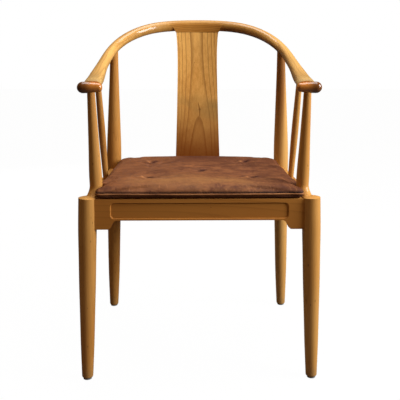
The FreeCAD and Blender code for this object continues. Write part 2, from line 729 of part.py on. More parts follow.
def cushion_section(half, y, low, edge, crown, lift):
    """A section across the cushion: flat below, drawn-in sides and a crowned top."""
    base = SEAT_H + CUSHION_LIFT_GAP + low
    seam = base + edge * CUSHION_SEAM_SHARE
    brim = base + edge + lift
    foot = Vector(half - CUSHION_TUCK, y, base)
    mid = Vector(half, y, seam)
    top = Vector(half - CUSHION_TUCK, y, brim)
    peak = Vector(0, y, brim + crown)

    def flip(p):
        return Vector(-p.x, p.y, p.z)

    edges = [Part.makeLine(flip(foot), foot), Part.Arc(foot, mid, top).toShape()]
    edges.append(Part.Arc(top, peak, flip(top)).toShape())
    edges.append(Part.Arc(flip(top), flip(mid), flip(foot)).toShape())
    return Part.Wire(edges)


def cushion_blank(inset):
    """The cushion's whole form, smaller by an inset all round."""
    wires = []
    for along, wide, drawn, edge, crown in CUSHION_SHARES:
        y = mix(inset - CUSHION_FRONT, CUSHION_REAR_Y - inset, along)
        half = mix(CUSHION_FRONT_HALF_W, CUSHION_REAR_HALF_W, along) * wide - inset
        low = CUSHION_EDGE_T * drawn + inset
        thick = CUSHION_EDGE_T * edge - 2 * inset
        bulge = CUSHION_CROWN * max(crown, 0.03)
        wires.append(cushion_section(half, y, low, thick, bulge, CUSHION_REAR_LIFT * along))
    form = Part.makeLoft(wires, True, False)
    base = SEAT_H + CUSHION_LIFT_GAP + inset
    wide = CUSHION_FRONT_HALF_W + OVERRUN
    under = box(-wide, wide, -CUSHION_FRONT, CUSHION_REAR_Y, base - OVERRUN, base)
    return solid_of(form.cut([under] + notch_posts(inset) + tuft_balls(inset)))


def notch_posts(inset):
    """Room for the front legs' tops, and straight up for the posts that lean over them."""
    radius = POST_BASE_R + CUSHION_NOTCH_GAP + inset
    leaned = mix(POST_BASE, POST_HEAD, NOTCH_LEAN_SHARE)
    swept = mix(POST_BASE, FRONT_HEAD, NOTCH_SWEEP_SHARE)
    shapes = []
    for spot in (POST_BASE, leaned, swept):
        low = Vector(spot.x, spot.y, SEAT_H - OVERRUN)
        shapes.append(Part.makeCylinder(radius, CUSHION_EDGE_T + 2 * OVERRUN, low))
    low = Vector(FRONT_HEAD.x, FRONT_HEAD.y, SEAT_H - OVERRUN)
    tall = OVERRUN + FRONT_DOME_H + CUSHION_LIFT_GAP + inset
    shapes.append(Part.makeCylinder(FRONT_TOP_R + CUSHION_NOTCH_GAP / 2 + inset, tall, low))
    return shapes + [mirrored(shape) for shape in shapes]


def tuft_spots():
    side = TUFT_SIDE_SHARE * (CUSHION_FRONT_HALF_W + CUSHION_REAR_HALF_W) / 2
    front = CUSHION_DEPTH * TUFT_FRONT_SHARE - CUSHION_FRONT
    rear = CUSHION_DEPTH * TUFT_REAR_SHARE - CUSHION_FRONT
    return [(-side, front), (side, front), (0, (front + rear) / 2), (-side, rear), (side, rear)]


def crown_height(x, y):
    """The cushion's top without its tufts."""
    along = (y + CUSHION_FRONT) / CUSHION_DEPTH
    table = CUSHION_SHARES
    crown = 0
    for low, high in zip(table[:-1], table[1:]):
        if low[0] <= along <= high[0]:
            crown = mix(low[4], high[4], (along - low[0]) / (high[0] - low[0]))
    half = mix(CUSHION_FRONT_HALF_W, CUSHION_REAR_HALF_W, along) - CUSHION_TUCK
    brim = SEAT_H + CUSHION_LIFT_GAP + CUSHION_EDGE_T + CUSHION_REAR_LIFT * along
    return brim + CUSHION_CROWN * crown * (1 - (x / half) ** 2)


def tuft_balls(inset):
    """Balls that press the tufts into the top."""
    radius = (TUFT_HALF_W ** 2 + TUFT_DEPTH ** 2) / (2 * TUFT_DEPTH)
    balls = []
    for x, y in tuft_spots():
        height = crown_height(x, y) - TUFT_DEPTH + radius
        balls.append(Part.makeSphere(radius + inset, Vector(x, y, height)))
    return balls


def ties(gap):
    """The threads that hold the tufts, each with a knot at both ends."""
    shapes = []
    for x, y in tuft_spots():
        low = SEAT_H + CUSHION_LIFT_GAP
        high = crown_height(x, y) - TUFT_DEPTH
        thread = rod(Vector(x, y, low), Vector(x, y, high), TIE_R + gap)
        knots = [rod(Vector(x, y, low), Vector(x, y, low + TIE_KNOT_H + gap), TIE_KNOT_R + gap)]
        knots.append(rod(Vector(x, y, high - gap), Vector(x, y, high + TIE_KNOT_H), TIE_KNOT_R + gap))
        shapes.append(thread.fuse(knots).removeSplitter())
    return shapes


def glide(foot):
    """One foot glide and its nail, under a leg's foot."""
    centre = Vector(foot.x, foot.y, 0)
    disc = Part.makeCylinder(GLIDE_R, GLIDE_T + NAIL_HEAD_H, centre)
    low = centre + UP * NAIL_RECESS
    nail = rod(low, low + UP * NAIL_L, NAIL_R).fuse(rod(low, low + UP * NAIL_HEAD_H, NAIL_HEAD_R))
    room = rod(centre, low + UP * NAIL_HEAD_H, NAIL_HEAD_R).fuse(rod(low, low + UP * NAIL_L, NAIL_R))
    return disc.cut(room), nail.removeSplitter()


def both_sides(shapes):
    return Part.makeCompound(list(shapes) + [mirrored(shape) for shape in shapes])


def build():
    """Every node of the chair, by name."""
    nodes = {}
    rail = top_rail_blank()
    seat = rail.translated(Vector(0, 0, -GLUE_GAP))
    front_leg = front_leg_blank().cut(seat)
    front_leg = max(front_leg.Solids, key=lambda s: s.Volume)
    rear_leg = rear_leg_blank()
    rear_leg = max(rear_leg.cut(seat).Solids, key=lambda s: s.Volume)

    post_way = POST_HEAD - POST_BASE
    post_way.normalize()
    front_tip = POST_HEAD
    front_tenon = rod(front_tip - post_way * OVERRUN, front_tip, FRONT_HEAD_TENON_R)
    front_hole = rod(front_tip - post_way * OVERRUN, front_tip + post_way * TENON_END_GAP,
                     FRONT_HEAD_TENON_R + GLUE_GAP)
    rear_way = REAR_HEAD - REAR_FOOT
    rear_way.normalize()
    rear_tenon = rod(REAR_HEAD - rear_way * OVERRUN, REAR_HEAD, REAR_HEAD_TENON_R)
    rear_hole = rod(REAR_HEAD - rear_way * OVERRUN, REAR_HEAD + rear_way * TENON_END_GAP,
                    REAR_HEAD_TENON_R + GLUE_GAP)
    foot, head = spindle_ends()
    spindle_way = head - foot
    spindle_way.normalize()
    spindle = spindle_blank().cut(seat)
    spindle = max(spindle.Solids, key=lambda s: s.Volume)
    spindle_tenons = rod(foot - spindle_way * SPINDLE_TENON_L, head, SPINDLE_TENON_R)
    spindle_hole = rod(foot - spindle_way * (SPINDLE_TENON_L + TENON_END_GAP),
                       head + spindle_way * TENON_END_GAP, SPINDLE_TENON_R + GLUE_GAP)

    splat_foot, splat_head = splat_tenons(0)
    foot_mortise, head_mortise = splat_tenons(GLUE_GAP)
    holes = [front_hole, rear_hole, spindle_hole]
    holes += [mirrored(hole) for hole in holes] + [head_mortise]
    nodes["top_rail"] = solid_of(rail.cut(holes))

    front_leg = solid_of(front_leg.fuse(front_tenon))
    rear_leg = solid_of(rear_leg.fuse(rear_tenon))
    spindle = solid_of(spindle.fuse(spindle_tenons))
    splat = splat_blank()
    splat = solid_of(splat.fuse([splat_foot, splat_head]))

    front_axis = line_at(FRONT_FOOT, FRONT_HEAD, TENON_MID_H)
    rear_axis = line_at(REAR_FOOT, REAR_HEAD, TENON_MID_H)
    pocket = panel_blank(PANEL_GAP, SEAT_H + OVERRUN)
    screw_holes = [screw(head_at, tip, SCREW_GAP) for head_at, tip in block_screw_lines()]
    screw_holes += [mirrored(hole) for hole in screw_holes]

    front_rail = front_rail_blank()
    legs_front = [front_leg, mirrored(front_leg)]
    legs_rear = [rear_leg, mirrored(rear_leg)]
    front_tenons = [cross_tenon(front_axis.y, front_axis.x, 0)]
    front_tenons.append(mirrored(front_tenons[0]))
    front_rail = front_rail.cut(pocket).cut(legs_front)
    front_rail = max(front_rail.Solids, key=lambda s: s.Volume)
    front_rail = solid_of(front_rail.fuse(front_tenons)).cut(screw_holes)

    rear_tenons = [cross_tenon(rear_axis.y, rear_axis.x, 0)]
    rear_tenons.append(mirrored(rear_tenons[0]))
    rear_rail = rear_rail_blank().cut(pocket).cut(legs_rear)
    rear_rail = max(rear_rail.Solids, key=lambda s: s.Volume)
    rear_rail = solid_of(rear_rail.fuse(rear_tenons)).cut(screw_holes + [foot_mortise])

    side_rail = side_rail_blank().cut(pocket).cut([front_leg, rear_leg])
    side_rail = max(side_rail.Solids, key=lambda s: s.Volume)
    side_rail = solid_of(side_rail.fuse(side_tenons(0))).cut(screw_holes + [spindle_hole])

    mortises = [cross_tenon(front_axis.y, front_axis.x, GLUE_GAP)] + side_tenons(GLUE_GAP)[:1]
    glide_front, nail_front = glide(FRONT_FOOT)
    glide_rear, nail_rear = glide(REAR_FOOT)
    nodes["front_leg_right"] = solid_of(front_leg.cut(mortises + [nail_front]))
    nodes["front_leg_left"] = mirrored(nodes["front_leg_right"])
    mortises = [cross_tenon(rear_axis.y, rear_axis.x, GLUE_GAP)] + side_tenons(GLUE_GAP)[1:]
    nodes["rear_leg_right"] = solid_of(rear_leg.cut(mortises + [nail_rear]))
    nodes["rear_leg_left"] = mirrored(nodes["rear_leg_right"])
    nodes["spindle_right"] = spindle
    nodes["spindle_left"] = mirrored(spindle)
    nodes["splat"] = splat
    nodes["front_seat_rail"] = solid_of(front_rail)
    nodes["rear_seat_rail"] = solid_of(rear_rail)
    nodes["side_seat_rail_right"] = solid_of(side_rail)
    nodes["side_seat_rail_left"] = mirrored(nodes["side_seat_rail_right"])

    glides = [glide_front.cut(front_leg), glide_rear.cut(rear_leg)]
    nodes["foot_glides"] = both_sides(glides)
    nodes["glide_nails"] = both_sides([nail_front, nail_rear])

    panel_holes = [screw(head_at, tip, SCREW_GAP) for head_at, tip in panel_screw_lines()]
    blocks = [corner_block(corner, way) for corner, way in block_corners()]
    blocks = [solid_of(block.cut(screw_holes + panel_holes)) for block in blocks]
    nodes["corner_block_front_right"] = blocks[0]
    nodes["corner_block_front_left"] = mirrored(blocks[0])
    nodes["corner_block_rear_right"] = blocks[1]
    nodes["corner_block_rear_left"] = mirrored(blocks[1])
    nodes["corner_block_screws"] = both_sides([screw(head_at, tip, 0) for head_at, tip in block_screw_lines()])
    nodes["seat_panel_screws"] = both_sides([screw(head_at, tip, 0) for head_at, tip in panel_screw_lines()])

    panel = panel_blank(0, SEAT_H)
    vents = []
    middle_y = rear_axis.y / 2
    for column in range(VENT_COUNT_X):
        for row in range(VENT_COUNT_Y):
            x = (column - (VENT_COUNT_X - 1) / 2) * VENT_PITCH_X
            y = middle_y + (row - (VENT_COUNT_Y - 1) / 2) * VENT_PITCH_Y
            vents.append(Part.makeCylinder(VENT_R, PANEL_T, Vector(x, y, SEAT_H - PANEL_T)))
    panel_cuts = vents + leg_collar(PANEL_LEG_GAP) + panel_holes + [mirrored(hole) for hole in panel_holes]
    nodes["seat_panel"] = solid_of(panel.cut(panel_cuts))

    outer = cushion_blank(0)
    shell = outer.cut(cushion_blank(LEATHER_T)).cut(ties(TIE_GAP))
    shell = max(shell.Solids, key=lambda s: s.Volume)
    nodes["cushion_cover"] = shell
    core = cushion_blank(LEATHER_T + CORE_GAP).cut(ties(TIE_GAP))
    nodes["cushion_core"] = solid_of(core)
    nodes["tuft_ties"] = Part.makeCompound(ties(0))
    return nodes


def export(nodes):
    """Write one file per node, with the origin under the middle of the chair."""
    os.makedirs("parts", exist_ok=True)
    for name, shape in nodes.items():
        moved = shape.translated(Vector(0, -MIDDLE_Y, 0))
        moved.exportStep("parts/" + name + ".step")
        print(name, moved.isValid(), len(moved.Solids), round(moved.Volume / 1000, 2), "cm3")


export(build())
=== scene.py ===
"""Looks of a horseshoe back armchair: oiled cherry wood and a loose tufted leather cushion.

Lengths are in metres. +X is to the right seen from the front, the chair faces -Y and Z is up.
"""

from __future__ import annotations

import json
import logging
import math
from dataclasses import dataclass, field
from enum import Enum
from typing import Any, Callable, Iterable, Protocol

import bpy
import numpy as np
from bpy.types import Material, Mesh, NodeSocket, NodeTree, Object
from mathutils import Euler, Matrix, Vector, noise
from mathutils.bvhtree import BVHTree
from mathutils.kdtree import KDTree

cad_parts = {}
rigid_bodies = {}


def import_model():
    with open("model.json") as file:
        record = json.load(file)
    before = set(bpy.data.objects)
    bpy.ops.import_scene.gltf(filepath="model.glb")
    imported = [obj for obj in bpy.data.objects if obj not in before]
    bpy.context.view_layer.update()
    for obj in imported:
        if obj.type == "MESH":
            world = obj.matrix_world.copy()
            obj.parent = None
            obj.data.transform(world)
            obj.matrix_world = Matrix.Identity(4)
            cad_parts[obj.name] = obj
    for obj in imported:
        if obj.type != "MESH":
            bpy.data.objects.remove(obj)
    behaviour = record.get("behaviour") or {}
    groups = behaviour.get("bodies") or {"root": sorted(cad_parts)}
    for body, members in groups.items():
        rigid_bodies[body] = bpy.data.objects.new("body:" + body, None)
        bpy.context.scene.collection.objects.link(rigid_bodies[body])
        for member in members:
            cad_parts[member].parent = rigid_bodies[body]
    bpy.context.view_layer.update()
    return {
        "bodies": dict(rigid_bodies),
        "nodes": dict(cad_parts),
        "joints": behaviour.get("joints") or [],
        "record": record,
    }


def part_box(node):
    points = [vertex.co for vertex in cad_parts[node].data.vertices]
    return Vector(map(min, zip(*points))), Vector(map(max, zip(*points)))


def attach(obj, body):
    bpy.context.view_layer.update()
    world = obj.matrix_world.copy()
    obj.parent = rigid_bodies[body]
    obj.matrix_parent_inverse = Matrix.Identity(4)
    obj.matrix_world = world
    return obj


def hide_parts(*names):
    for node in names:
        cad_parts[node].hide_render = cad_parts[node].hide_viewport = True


log = logging.getLogger("armchair")

MM = 0.001
WHITE = (1.0, 1.0, 1.0, 1.0)
Colour = tuple[float, float, float]
Edge = tuple[float, float]


def mm(first: float, second: float) -> Edge:
    """Two lengths that are given in millimetres, in metres."""
    return first * MM, second * MM


def paint(red: int, green: int, blue: int) -> Colour:
    """Turns a colour as a screen shows it, from 0 to 255, into a shader's linear numbers."""
    shares = (step / 255 for step in (red, green, blue))
    return tuple(s / 12.92 if s <= 0.04045 else ((s + 0.055) / 1.055) ** 2.4 for s in shares)


def sum_node(operation: str) -> Callable[..., "Value"]:
    """Gives Value a method that adds one Math node.

    Args:
        operation: The node's operation.

    Returns:
        The method, which takes up to two more numbers.
    """
    def method(first: "Value", *others: Any) -> "Value":
        """Adds the Math node."""
        return first.bench.node("ShaderNodeMath", {"operation": operation}, dict(enumerate((first, *others))))

    return method


class Value:
    """A number that varies over a surface, on which plain arithmetic adds Math nodes."""

    __add__ = __radd__ = sum_node("ADD")
    __mul__ = __rmul__ = sum_node("MULTIPLY")
    __sub__ = sum_node("SUBTRACT")
    __truediv__ = sum_node("DIVIDE")
    __pow__ = sum_node("POWER")
    at_least = sum_node("MAXIMUM")
    at_most = sum_node("MINIMUM")
    size = sum_node("ABSOLUTE")
    sign = sum_node("SIGN")
    root = sum_node("SQRT")
    part = sum_node("FRACT")
    angle = sum_node("ARCTAN2")

    def __init__(self, bench: "Bench", socket: NodeSocket) -> None:
        """Keeps the bench that adds nodes and the socket that gives the number."""
        self.bench = bench
        self.socket = socket

    def __rsub__(self, other: float) -> "Value":
        """Subtracts this from a plain number."""
        return self * -1.0 + other

    def ease(self, low: float, high: float) -> "Value":
        """Climbs smoothly from 0 at low to 1 at high.

        Args:
            low: Where the climb starts. It may be above high, for a fall.
            high: Where it ends.

        Returns:
            A value from 0 to 1.
        """
        flip = low > high
        ends = (high, low) if flip else (low, high)
        made = self.bench.node("ShaderNodeMapRange", {"interpolation_type": "SMOOTHSTEP"},
                               {"Value": self, "From Min": ends[0], "From Max": ends[1]})
        return 1 - made if flip else made

    def near(self, middle: float, edge: Edge) -> "Value":
        """Climbs from 0 to 1 between two places that are measured from a middle."""
        return self.ease(middle + edge[0], middle + edge[1])


class Nodes:
    """A node tree that is built node by node."""

    def __init__(self, tree: NodeTree) -> None:
        """Starts with the tree emptied."""
        self.tree = tree
        tree.nodes.clear()

    def add(self, kind: str, settings: dict[str, Any] | None = None,
            inputs: dict[Any, Any] | None = None, output: Any = 0) -> NodeSocket:
        """Adds one node.

        Args:
            kind: Blender's name of the node's type.
            settings: The node's own settings, which are set first.
            inputs: A value or a link for each socket, by name or place.
            output: The name or place of the output that is wanted.

        Returns:
            That output.
        """
        made = self.tree.nodes.new(kind)
        for key, setting in (settings or {}).items():
            setattr(made, key, setting)
        for key, value in (inputs or {}).items():
            source = value.socket if isinstance(value, Value) else value
            if isinstance(source, NodeSocket):
                self.tree.links.new(source, made.inputs[key])
            else:
                made.inputs[key].default_value = source
        return made.outputs[output]

    def show(self, kind: str, shader: NodeSocket) -> None:
        """Links a shader to a new output node of that type."""
        self.tree.links.new(shader, self.tree.nodes.new(kind).inputs["Surface"])


class Bench(Nodes):
    """The node tree of one finish."""

    def __init__(self, name: str) -> None:
        """Starts an empty material of that name."""
        self.material = bpy.data.materials.new(name)
        self.material.use_nodes = True
        super().__init__(self.material.node_tree)

    def node(self, kind: str, settings: dict[str, Any] | None = None,
             inputs: dict[Any, Any] | None = None, output: Any = 0) -> Value:
        """Adds one node as add does, and gives its output as a value."""
        return Value(self, self.add(kind, settings, inputs, output))

    def place(self) -> tuple[Value, Value, Value]:
        """The point's X, Y and Z in the piece's own coordinates."""
        point = self.node("ShaderNodeTexCoord", output="Object")
        return tuple(self.node("ShaderNodeSeparateXYZ", inputs={0: point}, output=axis) for axis in "XYZ")

    def vector(self, x: Any, y: Any, z: Any) -> Value:
        """Joins three numbers into a vector."""
        return self.node("ShaderNodeCombineXYZ", inputs={0: x, 1: y, 2: z})

    def cells(self, where: Value, scale: float) -> Value:
        """The distance to the nearest of scattered spots, as a share of their spacing."""
        return self.node("ShaderNodeTexVoronoi", inputs={"Vector": where, "Scale": scale})

    def mark(self, name: str) -> Value:
        """A number that the mesh holds at each point."""
        return self.node("ShaderNodeAttribute", {"attribute_name": name}, output="Fac")

    def mix(self, share: Any, *colours: Any) -> Value:
        """Goes from one colour to a second, by a share that is held between 0 and 1."""
        ends = {6 + place: c if isinstance(c, Value) else (*c, 1.0) for place, c in enumerate(colours)}
        return self.node("ShaderNodeMix", {"data_type": "RGBA", "clamp_factor": True}, {0: share, **ends}, 2)

    def finish(self, colour: Value, roughness: Value, relief: Value, depth: float,
               others: dict[str, Any]) -> Material:
        """Closes the material with its shader.

        Args:
            colour: The base colour.
            roughness: The roughness.
            relief: The height that lights and shadows the surface, about 0 to 1.
            depth: How deep a relief of 1 is.
            others: The shader's other sockets.

        Returns:
            The material.
        """
        bump = self.node("ShaderNodeBump", inputs={"Strength": 1.0, "Distance": depth, "Height": relief})
        inputs = {"Base Color": colour, "Roughness": roughness, "Normal": bump, **others}
        self.show("ShaderNodeOutputMaterial", self.add("ShaderNodeBsdfPrincipled", inputs=inputs))
        return self.material


@dataclass(frozen=True)
class Cloud:
    """Soft noise from about -0.5 to 0.5: clouds to the metre, finer layers and their strength."""

    scale: float
    layers: float = 2.0
    strength: float = 0.5
    stretch: tuple[float, float, float] = (1.0, 1.0, 1.0)
    shift: tuple[float, float, float] = (0.0, 0.0, 0.0)

    def over(self, bench: Bench, *place: Any) -> Value:
        """The noise at a place.

        Args:
            bench: The finish that needs it.
            place: The place's three numbers.

        Returns:
            The noise.
        """
        inputs = {"Vector": bench.vector(*place), "Location": self.shift, "Scale": self.stretch}
        where = bench.node("ShaderNodeMapping", inputs=inputs)
        inputs = {"Vector": where, "Scale": self.scale, "Detail": self.layers, "Roughness": self.strength}
        return bench.node("ShaderNodeTexNoise", inputs=inputs) - 0.5


class Run(Enum):
    """Which way the fibres of a wooden piece run."""

    UP = "up"
    ACROSS = "across"
    DEEP = "deep"
    BENT = "bent"


@dataclass(frozen=True)
class Grain:
    """How a piece was cut from its board, and how it has aged.

    Heart is where the middle of the tree lay from the piece's middle: to the side, and behind
    its face. A lean moves the heart nearer per metre along the fibres, a bow curves it away past
    the middle, and a veer spreads the rings to the side. Apex is the height of the piece's
    middle, as a share. Rings stand a ring apart, from the first, and close together past crowd.
    """

    run: Run
    heart: tuple[float, float]
    ring: float
    figure: float
    lean: float = 0.0
    bow: float = 0.0
    veer: float = 0.0
    apex: float = 0.5
    flat: bool = False
    first: float = 0.0
    crowd: float = 0.0
    close: float = 0.006
    line: float = 0.3
    wash: float = 0.3
    wander: float = 0.006
    tone: float = 0.0
    streaks: float = 0.8
    fibres: float = 0.35
    # painted shade down the side that faces -X
    painted_side_shade: float = 0.0
    specks: float = 1.0
    redness: float = 0.1
    bleached: float = 0.12
    shine: float = 0.30
    coat: float = 0.25
    polish: float = 0.10
    relief: float = 0.05 * MM
    seed: float = 0.0


@dataclass(frozen=True)
class Bend:
    """The plan of the horseshoe: a half circle at the back, then two straight arms."""

    radius: float
    middle_y: float
    arm_height: float
    rise: float
    front_y: float
    back_y: float
    climb: float = 1.7

    def coordinates(self, bench: Bench) -> tuple[Value, Value, Value]:
        """Places a point across, over and along the rail.

        Args:
            bench: The finish that needs them.

        Returns:
            How far it is outwards from the rail's middle line, how high over it, and how far
            along it.
        """
        x, y, z = bench.place()
        behind = (y - self.middle_y).at_least(0.0)
        before = (self.middle_y - y).at_least(0.0)
        outwards = (x * x + behind * behind).root() - self.radius
        turn = x.size().angle(behind.at_least(0.1 * MM))
        back = ((y - self.front_y) / (self.back_y - self.front_y)).at_least(0.0).at_most(1.0)
        over = z - (back ** self.climb) * self.rise - self.arm_height
        return outwards, over, (turn * self.radius + before) * x.sign()


@dataclass
class Surface:
    """A wooden surface in the making: its bench and palette, and its colour and roughness so far."""

    bench: Bench
    cherry: Cherry
    colour: Value
    roughness: Value

    def lay(self, share: Any, colour: Any) -> None:
        """Lays another colour over a share of the surface."""
        self.colour = self.bench.mix(share, self.colour, colour)


class WearAndShade(Protocol):
    """What years of use did to a piece, and the shade and highlights that are painted on it."""

    def dress(self, surface: Surface) -> None:
        """Adds the marks of use and the painted shade to a surface."""


@dataclass(frozen=True)
class Cherry:
    """Oiled and waxed cherry that has turned golden brown."""

    pale: Colour = paint(213, 158, 80)
    deep: Colour = paint(162, 102, 32)
    ring_line: Colour = paint(96, 50, 10)
    red: Colour = paint(160, 84, 24)
    hand_patina_and_shade: Colour = paint(102, 54, 18)
    rubbed: Colour = paint(200, 124, 52)
    grey: Colour = paint(150, 126, 88)
    straw_and_highlight: Colour = paint(226, 192, 124)
    olive: Colour = paint(120, 98, 54)
    foot_shade_and_patina: Colour = paint(106, 46, 0)
    seam: Colour = paint(70, 34, 8)
    back_brown: Colour = paint(150, 102, 36)
    roughness: float = 0.40
    drift: Cloud = Cloud(11.0, stretch=(1.0, 1.0, 0.16))
    sway: Cloud = Cloud(8.0, stretch=(1.0, 1.0, 0.13))
    contrast: Cloud = Cloud(1.3, 1.0, stretch=(0.7, 1.5, 1.0))
    fibre: Cloud = Cloud(1.0, 3.0, 0.6, (900.0, 900.0, 26.0))
    streak: Cloud = Cloud(1.0, 3.0, 0.55, (190.0, 190.0, 7.0))
    patch: Cloud = Cloud(14.0, 3.0, stretch=(1.0, 1.0, 0.5))
    warmth: Cloud = Cloud(7.0, stretch=(1.0, 1.0, 0.4))
    line_rise: float = 0.96
    line_fall: Edge = (1.0, 0.97)
    wash_rise: Edge = (0.05, 0.9)
    painted_side_shade_across: Edge = mm(4.0, -6.0)
    painted_side_shade_height: Edge = mm(20.0, 300.0)
    speck_scale: float = 46.0
    speck_edge: Edge = (0.075, 0.035)
    worn_middle: Edge = mm(50.0, 140.0)

    def rings(self, bench: Bench, grain: Grain, place: tuple[Value, Value, Value], shift: float) -> Value:
        """Draws the year rings.

        Args:
            bench: The finish.
            grain: How the piece was cut.
            place: The point's place to the side, behind and along the fibres.
            shift: How far the piece lies from others in the clouds.

        Returns:
            How strongly they show.
        """
        side, behind, along = place
        wander = grain.wander * 2.0
        across = side - grain.heart[0] + self.drift.over(bench, side + shift, behind, along) * wander
        deep = self.sway.over(bench, side - shift, behind, along) * wander
        deep = deep + along * grain.lean + grain.heart[1]
        if grain.flat:
            across = across + along.size() * grain.veer
            above = along.at_least(0.0)
            deep = deep - above * above * grain.bow
        else:
            deep = deep + behind
        reach = (across * across + deep * deep).root()
        rings = reach / grain.ring
        if grain.crowd:
            rings = ((reach - grain.first) / grain.ring).at_least((reach - grain.crowd) / grain.close + 2.0)
        cycle = rings.part()
        line = cycle.ease(1.0 - grain.line, self.line_rise) * cycle.ease(*self.line_fall)
        wash = cycle.ease(*self.wash_rise) * grain.wash
        contrast = self.contrast.over(bench, rings, along, shift) + 0.75
        return (line + wash) * contrast * grain.figure

    def wood(self, name: str, grain: Grain, middle: Vector, bend: Bend,
             wear_and_shade: WearAndShade | None) -> Material:
        """Makes the finish for one piece.

        Args:
            name: The material's name.
            grain: How the piece was cut.
            middle: The middle of the piece.
            bend: The plan of the horseshoe, for the piece that follows it.
            wear_and_shade: Adds the piece's own marks.

        Returns:
            The material.
        """
        bench = Bench(name)
        x, y, z = bench.place()
        side, behind, along = place = {
            Run.UP: lambda: (x - middle.x, y - middle.y, z - middle.z),
            Run.ACROSS: lambda: (z - middle.z, y - middle.y, x - middle.x),
            Run.DEEP: lambda: (x - middle.x, z - middle.z, y - middle.y),
            Run.BENT: lambda: bend.coordinates(bench),
        }[grain.run]()
        shift = grain.seed * 3.7
        figure = self.rings(bench, grain, place, shift)
        fibre = self.fibre.over(bench, *place)
        streak = self.streak.over(bench, *place)
        patch = self.patch.over(bench, side + shift, behind, along)
        warm = self.warmth.over(bench, side, behind + shift, along) + 0.15
        tone = patch * 0.9 + streak * grain.streaks + fibre * grain.fibres + (0.55 + grain.tone)
        roughness = fibre * 0.10 + streak * 0.06 + self.roughness
        surface = Surface(bench, self, bench.mix(tone, self.deep, self.pale), roughness)
        surface.lay(warm * 0.6 + grain.redness, self.red)
        surface.lay(grain.bleached - warm * 0.5, self.straw_and_highlight)
        surface.lay(figure, self.ring_line)
        # painted shade on the side of the piece that faces -X, growing towards its upper part
        if grain.painted_side_shade:
            surface.lay(side.ease(*self.painted_side_shade_across) * along.ease(*self.painted_side_shade_height) * grain.painted_side_shade, self.foot_shade_and_patina)
        spots = bench.cells(bench.vector(side * 1.6, behind * 1.6 + shift, along * 0.6), self.speck_scale)
        surface.lay(spots.ease(*(edge * grain.specks for edge in self.speck_edge)) * 0.6, self.hand_patina_and_shade)
        if wear_and_shade is not None:
            wear_and_shade.dress(surface)
        relief = fibre * 0.5 + streak * 0.4 - figure * 0.25 + 0.5
        coat = grain.coat
        if grain.run is Run.BENT:
            coat = (x.size().ease(*self.worn_middle) * 0.95 + 0.05) * coat
        others = {"Coat Weight": coat, "Coat Roughness": grain.polish, "Specular IOR Level": grain.shine}
        return bench.finish(surface.colour, surface.roughness, relief, grain.relief, others)


